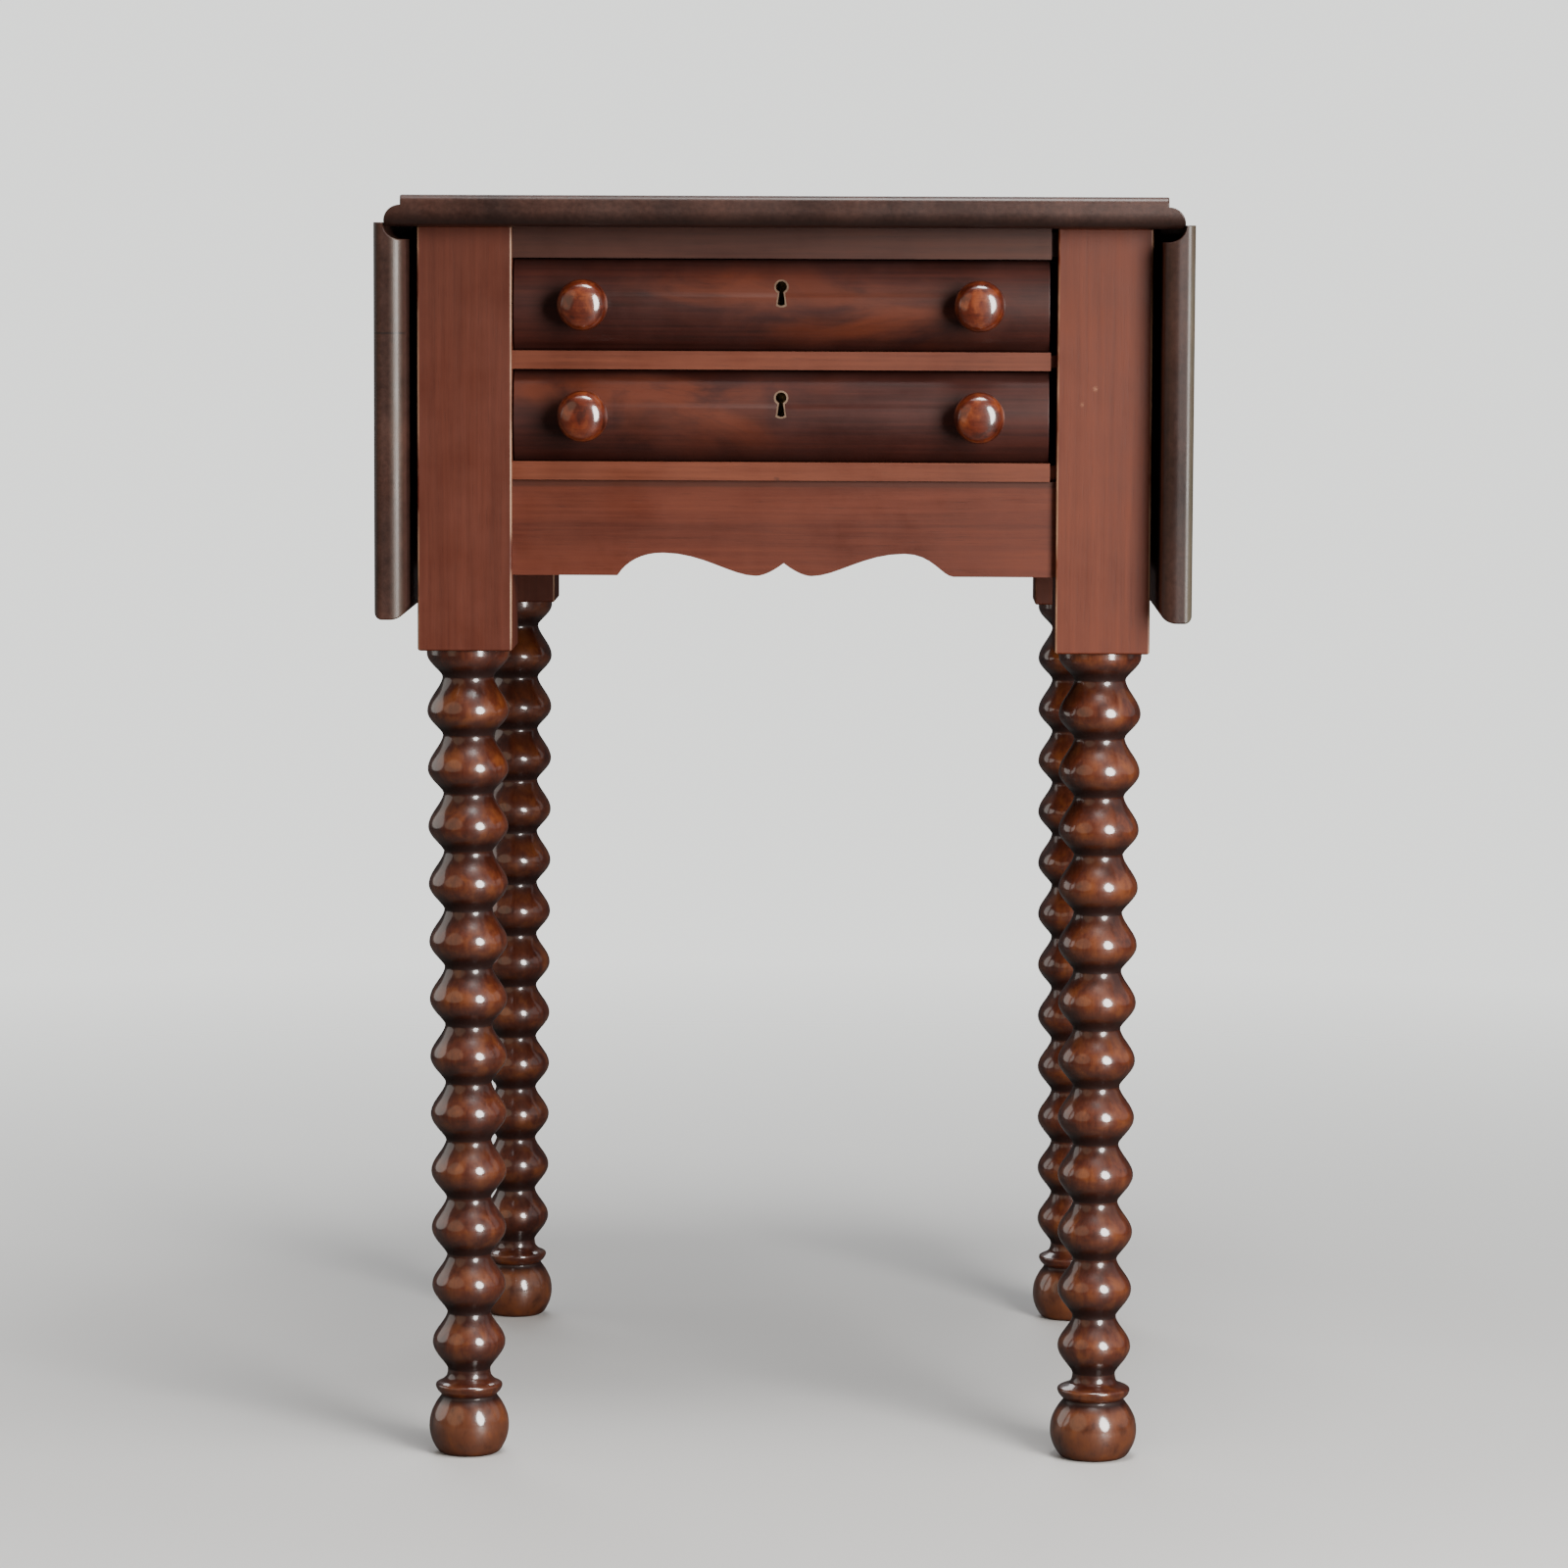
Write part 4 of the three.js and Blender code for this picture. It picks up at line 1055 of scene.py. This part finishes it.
BOARDS = {
    "left_side_panel": PANEL_WOOD,
    "right_side_panel": PANEL_WOOD,
    "back_panel": BACK_WOOD,
    "top_rail": TOP_RAIL_SHADED_WOOD,
    "middle_rail": RAIL_WOOD,
    "bottom_rail": BOTTOM_RAIL_WOOD,
    "front_apron": APRON_WOOD,
    "left_support_arm": PANEL_WOOD,
    "right_support_arm": PANEL_WOOD,
}
for side, _ in SIDES:
    BOARDS[f"{side}_kicker"] = BARE_WOOD["y"]
    for level in LEVELS:
        BOARDS[f"{level}_{side}_runner"] = BARE_WOOD["y"]
        BOARDS[f"{level}_drawer_{side}_side"] = BARE_WOOD["y"]
for level in LEVELS:
    BOARDS[f"{level}_drawer_stop"] = BARE_WOOD["x"]
    BOARDS[f"{level}_drawer_back"] = BARE_WOOD["x"]
    BOARDS[f"{level}_drawer_bottom"] = BARE_WOOD["x"]

for name, material in BOARDS.items():
    if "rail" in name or "apron" in name:
        dress(nodes[name], material, WORN_WOOD)
        soften(nodes[name], 0.8 * MM, worn=1)
    else:
        dress(nodes[name], material)
        soften(nodes[name], 0.6 * MM)

for name, node in nodes.items():
    is_iron = "hinge" in name or "support_screw" in name
    if is_iron or "lock" in name:
        dress(node, IRON if is_iron else BRASS)
        soften(node, 0.25 * MM, 1)

# ------------------------------------------------------------------ stage


FLOOR_PALE, FLOOR_CLOUD = (0.86, 0.86, 0.85), (0.80, 0.80, 0.795)
FLOOR_FOR_TABLE = (0.075, 0.068, 0.063)
FLOOR_FADE = (0.5, 2.0)  # metres from the middle, where it starts to fade and is gone
FLOOR_RADIUS = 5
FLOOR_SIDES = 64
WORLD_SEEN = (1.55, 1.57, 1.53)
WORLD_FOR_TABLE = (0.05, 0.051, 0.052)

LIGHT_TARGET = Vector((0, 0, 0.42))
# Name, azimuth (0 in front of the table, 90 at its right) and elevation in degrees, distance,
# width and height in metres, radiance, colour.
LIGHTS = (
    ("window", 32, 12, 2.1, 0.85, 1.5, 13.5, (1.0, 0.97, 0.93)),
    ("ceiling", 24, 70, 2.2, 0.9, 0.9, 12, (1.0, 0.98, 0.95)),
    ("lamp", -42, 18, 2.6, 2.4, 2.4, 0.3, (1.0, 0.78, 0.55)),
    ("left_fill", -98, 14, 2.6, 2.4, 2.0, 0.7, (1.0, 0.96, 0.9)),
    ("overhead", 10, 80, 2.8, 2.4, 2.4, 0.9, (0.96, 0.98, 1.0)),
    ("side", 88, 20, 2.5, 2.6, 2.4, 0.18, (0.97, 0.99, 1.0)),
    ("back", 190, 40, 3.0, 2.4, 2.0, 2.4, (0.97, 0.98, 1.0)),
)

CAMERA_PLACE = (0.055, -3.474, 0.713)
CAMERA_YAW, CAMERA_PITCH, CAMERA_ROLL = 0.96, 5.61, 0.23  # degrees: left, down, anticlockwise
SENSOR_WIDTH, FOCAL_LENGTH = 36, 130.4  # millimetres


def camera_sees(n, seen, other):
    """One colour where the camera sees the studio, another for the light it gives the table."""
    ray = n.node("ShaderNodeLightPath").outputs["Is Camera Ray"]
    return n.mix(ray, other, seen)


def make_floor():
    """A pale round floor that fades out into the backdrop."""
    n = Nodes(bpy.data.materials.new("pale_floor"))
    cloud = n.noise(n.place(1.4), detail=4)
    pale = n.mix(n.range(cloud, 0.3, 0.7, 0, 0.5), FLOOR_PALE, FLOOR_CLOUD)
    normal = n.bump(n.noise(n.place(90), detail=3), 0.05, MM)
    rough = n.range(cloud, 0.3, 0.7, 0.5, 0.6)
    material = n.finish(camera_sees(n, pale, FLOOR_FOR_TABLE), rough, normal)
    length = n.node("ShaderNodeVectorMath", {0: n.place()}, operation="LENGTH").outputs["Value"]
    fade = n.node("ShaderNodeMixShader", {0: n.range(length, *FLOOR_FADE)})
    n.feed(fade.inputs[1], n.shader.outputs[0])
    n.feed(fade.inputs[2], n.node("ShaderNodeBsdfTransparent").outputs[0])
    n.feed(n.tree.nodes["Material Output"].inputs["Surface"], fade.outputs[0])
    angles = [math.tau * i / FLOOR_SIDES for i in range(FLOOR_SIDES)]
    corners = [(FLOOR_RADIUS * math.cos(a), FLOOR_RADIUS * math.sin(a), 0) for a in angles]
    floor = mesh_object("floor", corners, [tuple(range(FLOOR_SIDES))])
    dress(floor, material)


def area_light(name, azimuth, elevation, distance, width, height, radiance, colour):
    """A soft elliptical panel that shines at the table."""
    a, e = math.radians(azimuth), math.radians(elevation)
    away = Vector((math.sin(a) * math.cos(e), -math.cos(a) * math.cos(e), math.sin(e)))
    data = bpy.data.lights.new(name, "AREA")
    data.shape = "ELLIPSE"
    data.size, data.size_y = width, height
    data.energy, data.color = radiance * math.pi * width * height, colour
    light = bpy.data.objects.new(name, data)
    bpy.context.scene.collection.objects.link(light)
    light.location = LIGHT_TARGET + away * distance
    light.rotation_euler = away.to_track_quat("Z", "Y").to_euler()


def make_world():
    world = bpy.data.worlds.new("studio")
    bpy.context.scene.world = world
    n = Nodes(world)
    seen = camera_sees(n, WORLD_SEEN, WORLD_FOR_TABLE)
    n.feed(n.tree.nodes["Background"].inputs["Color"], seen)


def make_camera():
    data = bpy.data.cameras.new("camera")
    camera = bpy.data.objects.new("camera", data)
    bpy.context.scene.collection.objects.link(camera)
    data.sensor_width = SENSOR_WIDTH
    data.lens = FOCAL_LENGTH
    data.dof.use_dof = False
    yaw = Matrix.Rotation(math.radians(CAMERA_YAW), 4, "Z")
    pitch = Matrix.Rotation(math.radians(90 - CAMERA_PITCH), 4, "X")
    roll = Matrix.Rotation(math.radians(CAMERA_ROLL), 4, "Z")
    camera.location = CAMERA_PLACE
    camera.rotation_euler = (yaw @ pitch @ roll).to_euler()
    bpy.context.scene.camera = camera


make_floor()
make_world()
for light in LIGHTS:
    area_light(*light)
make_camera()
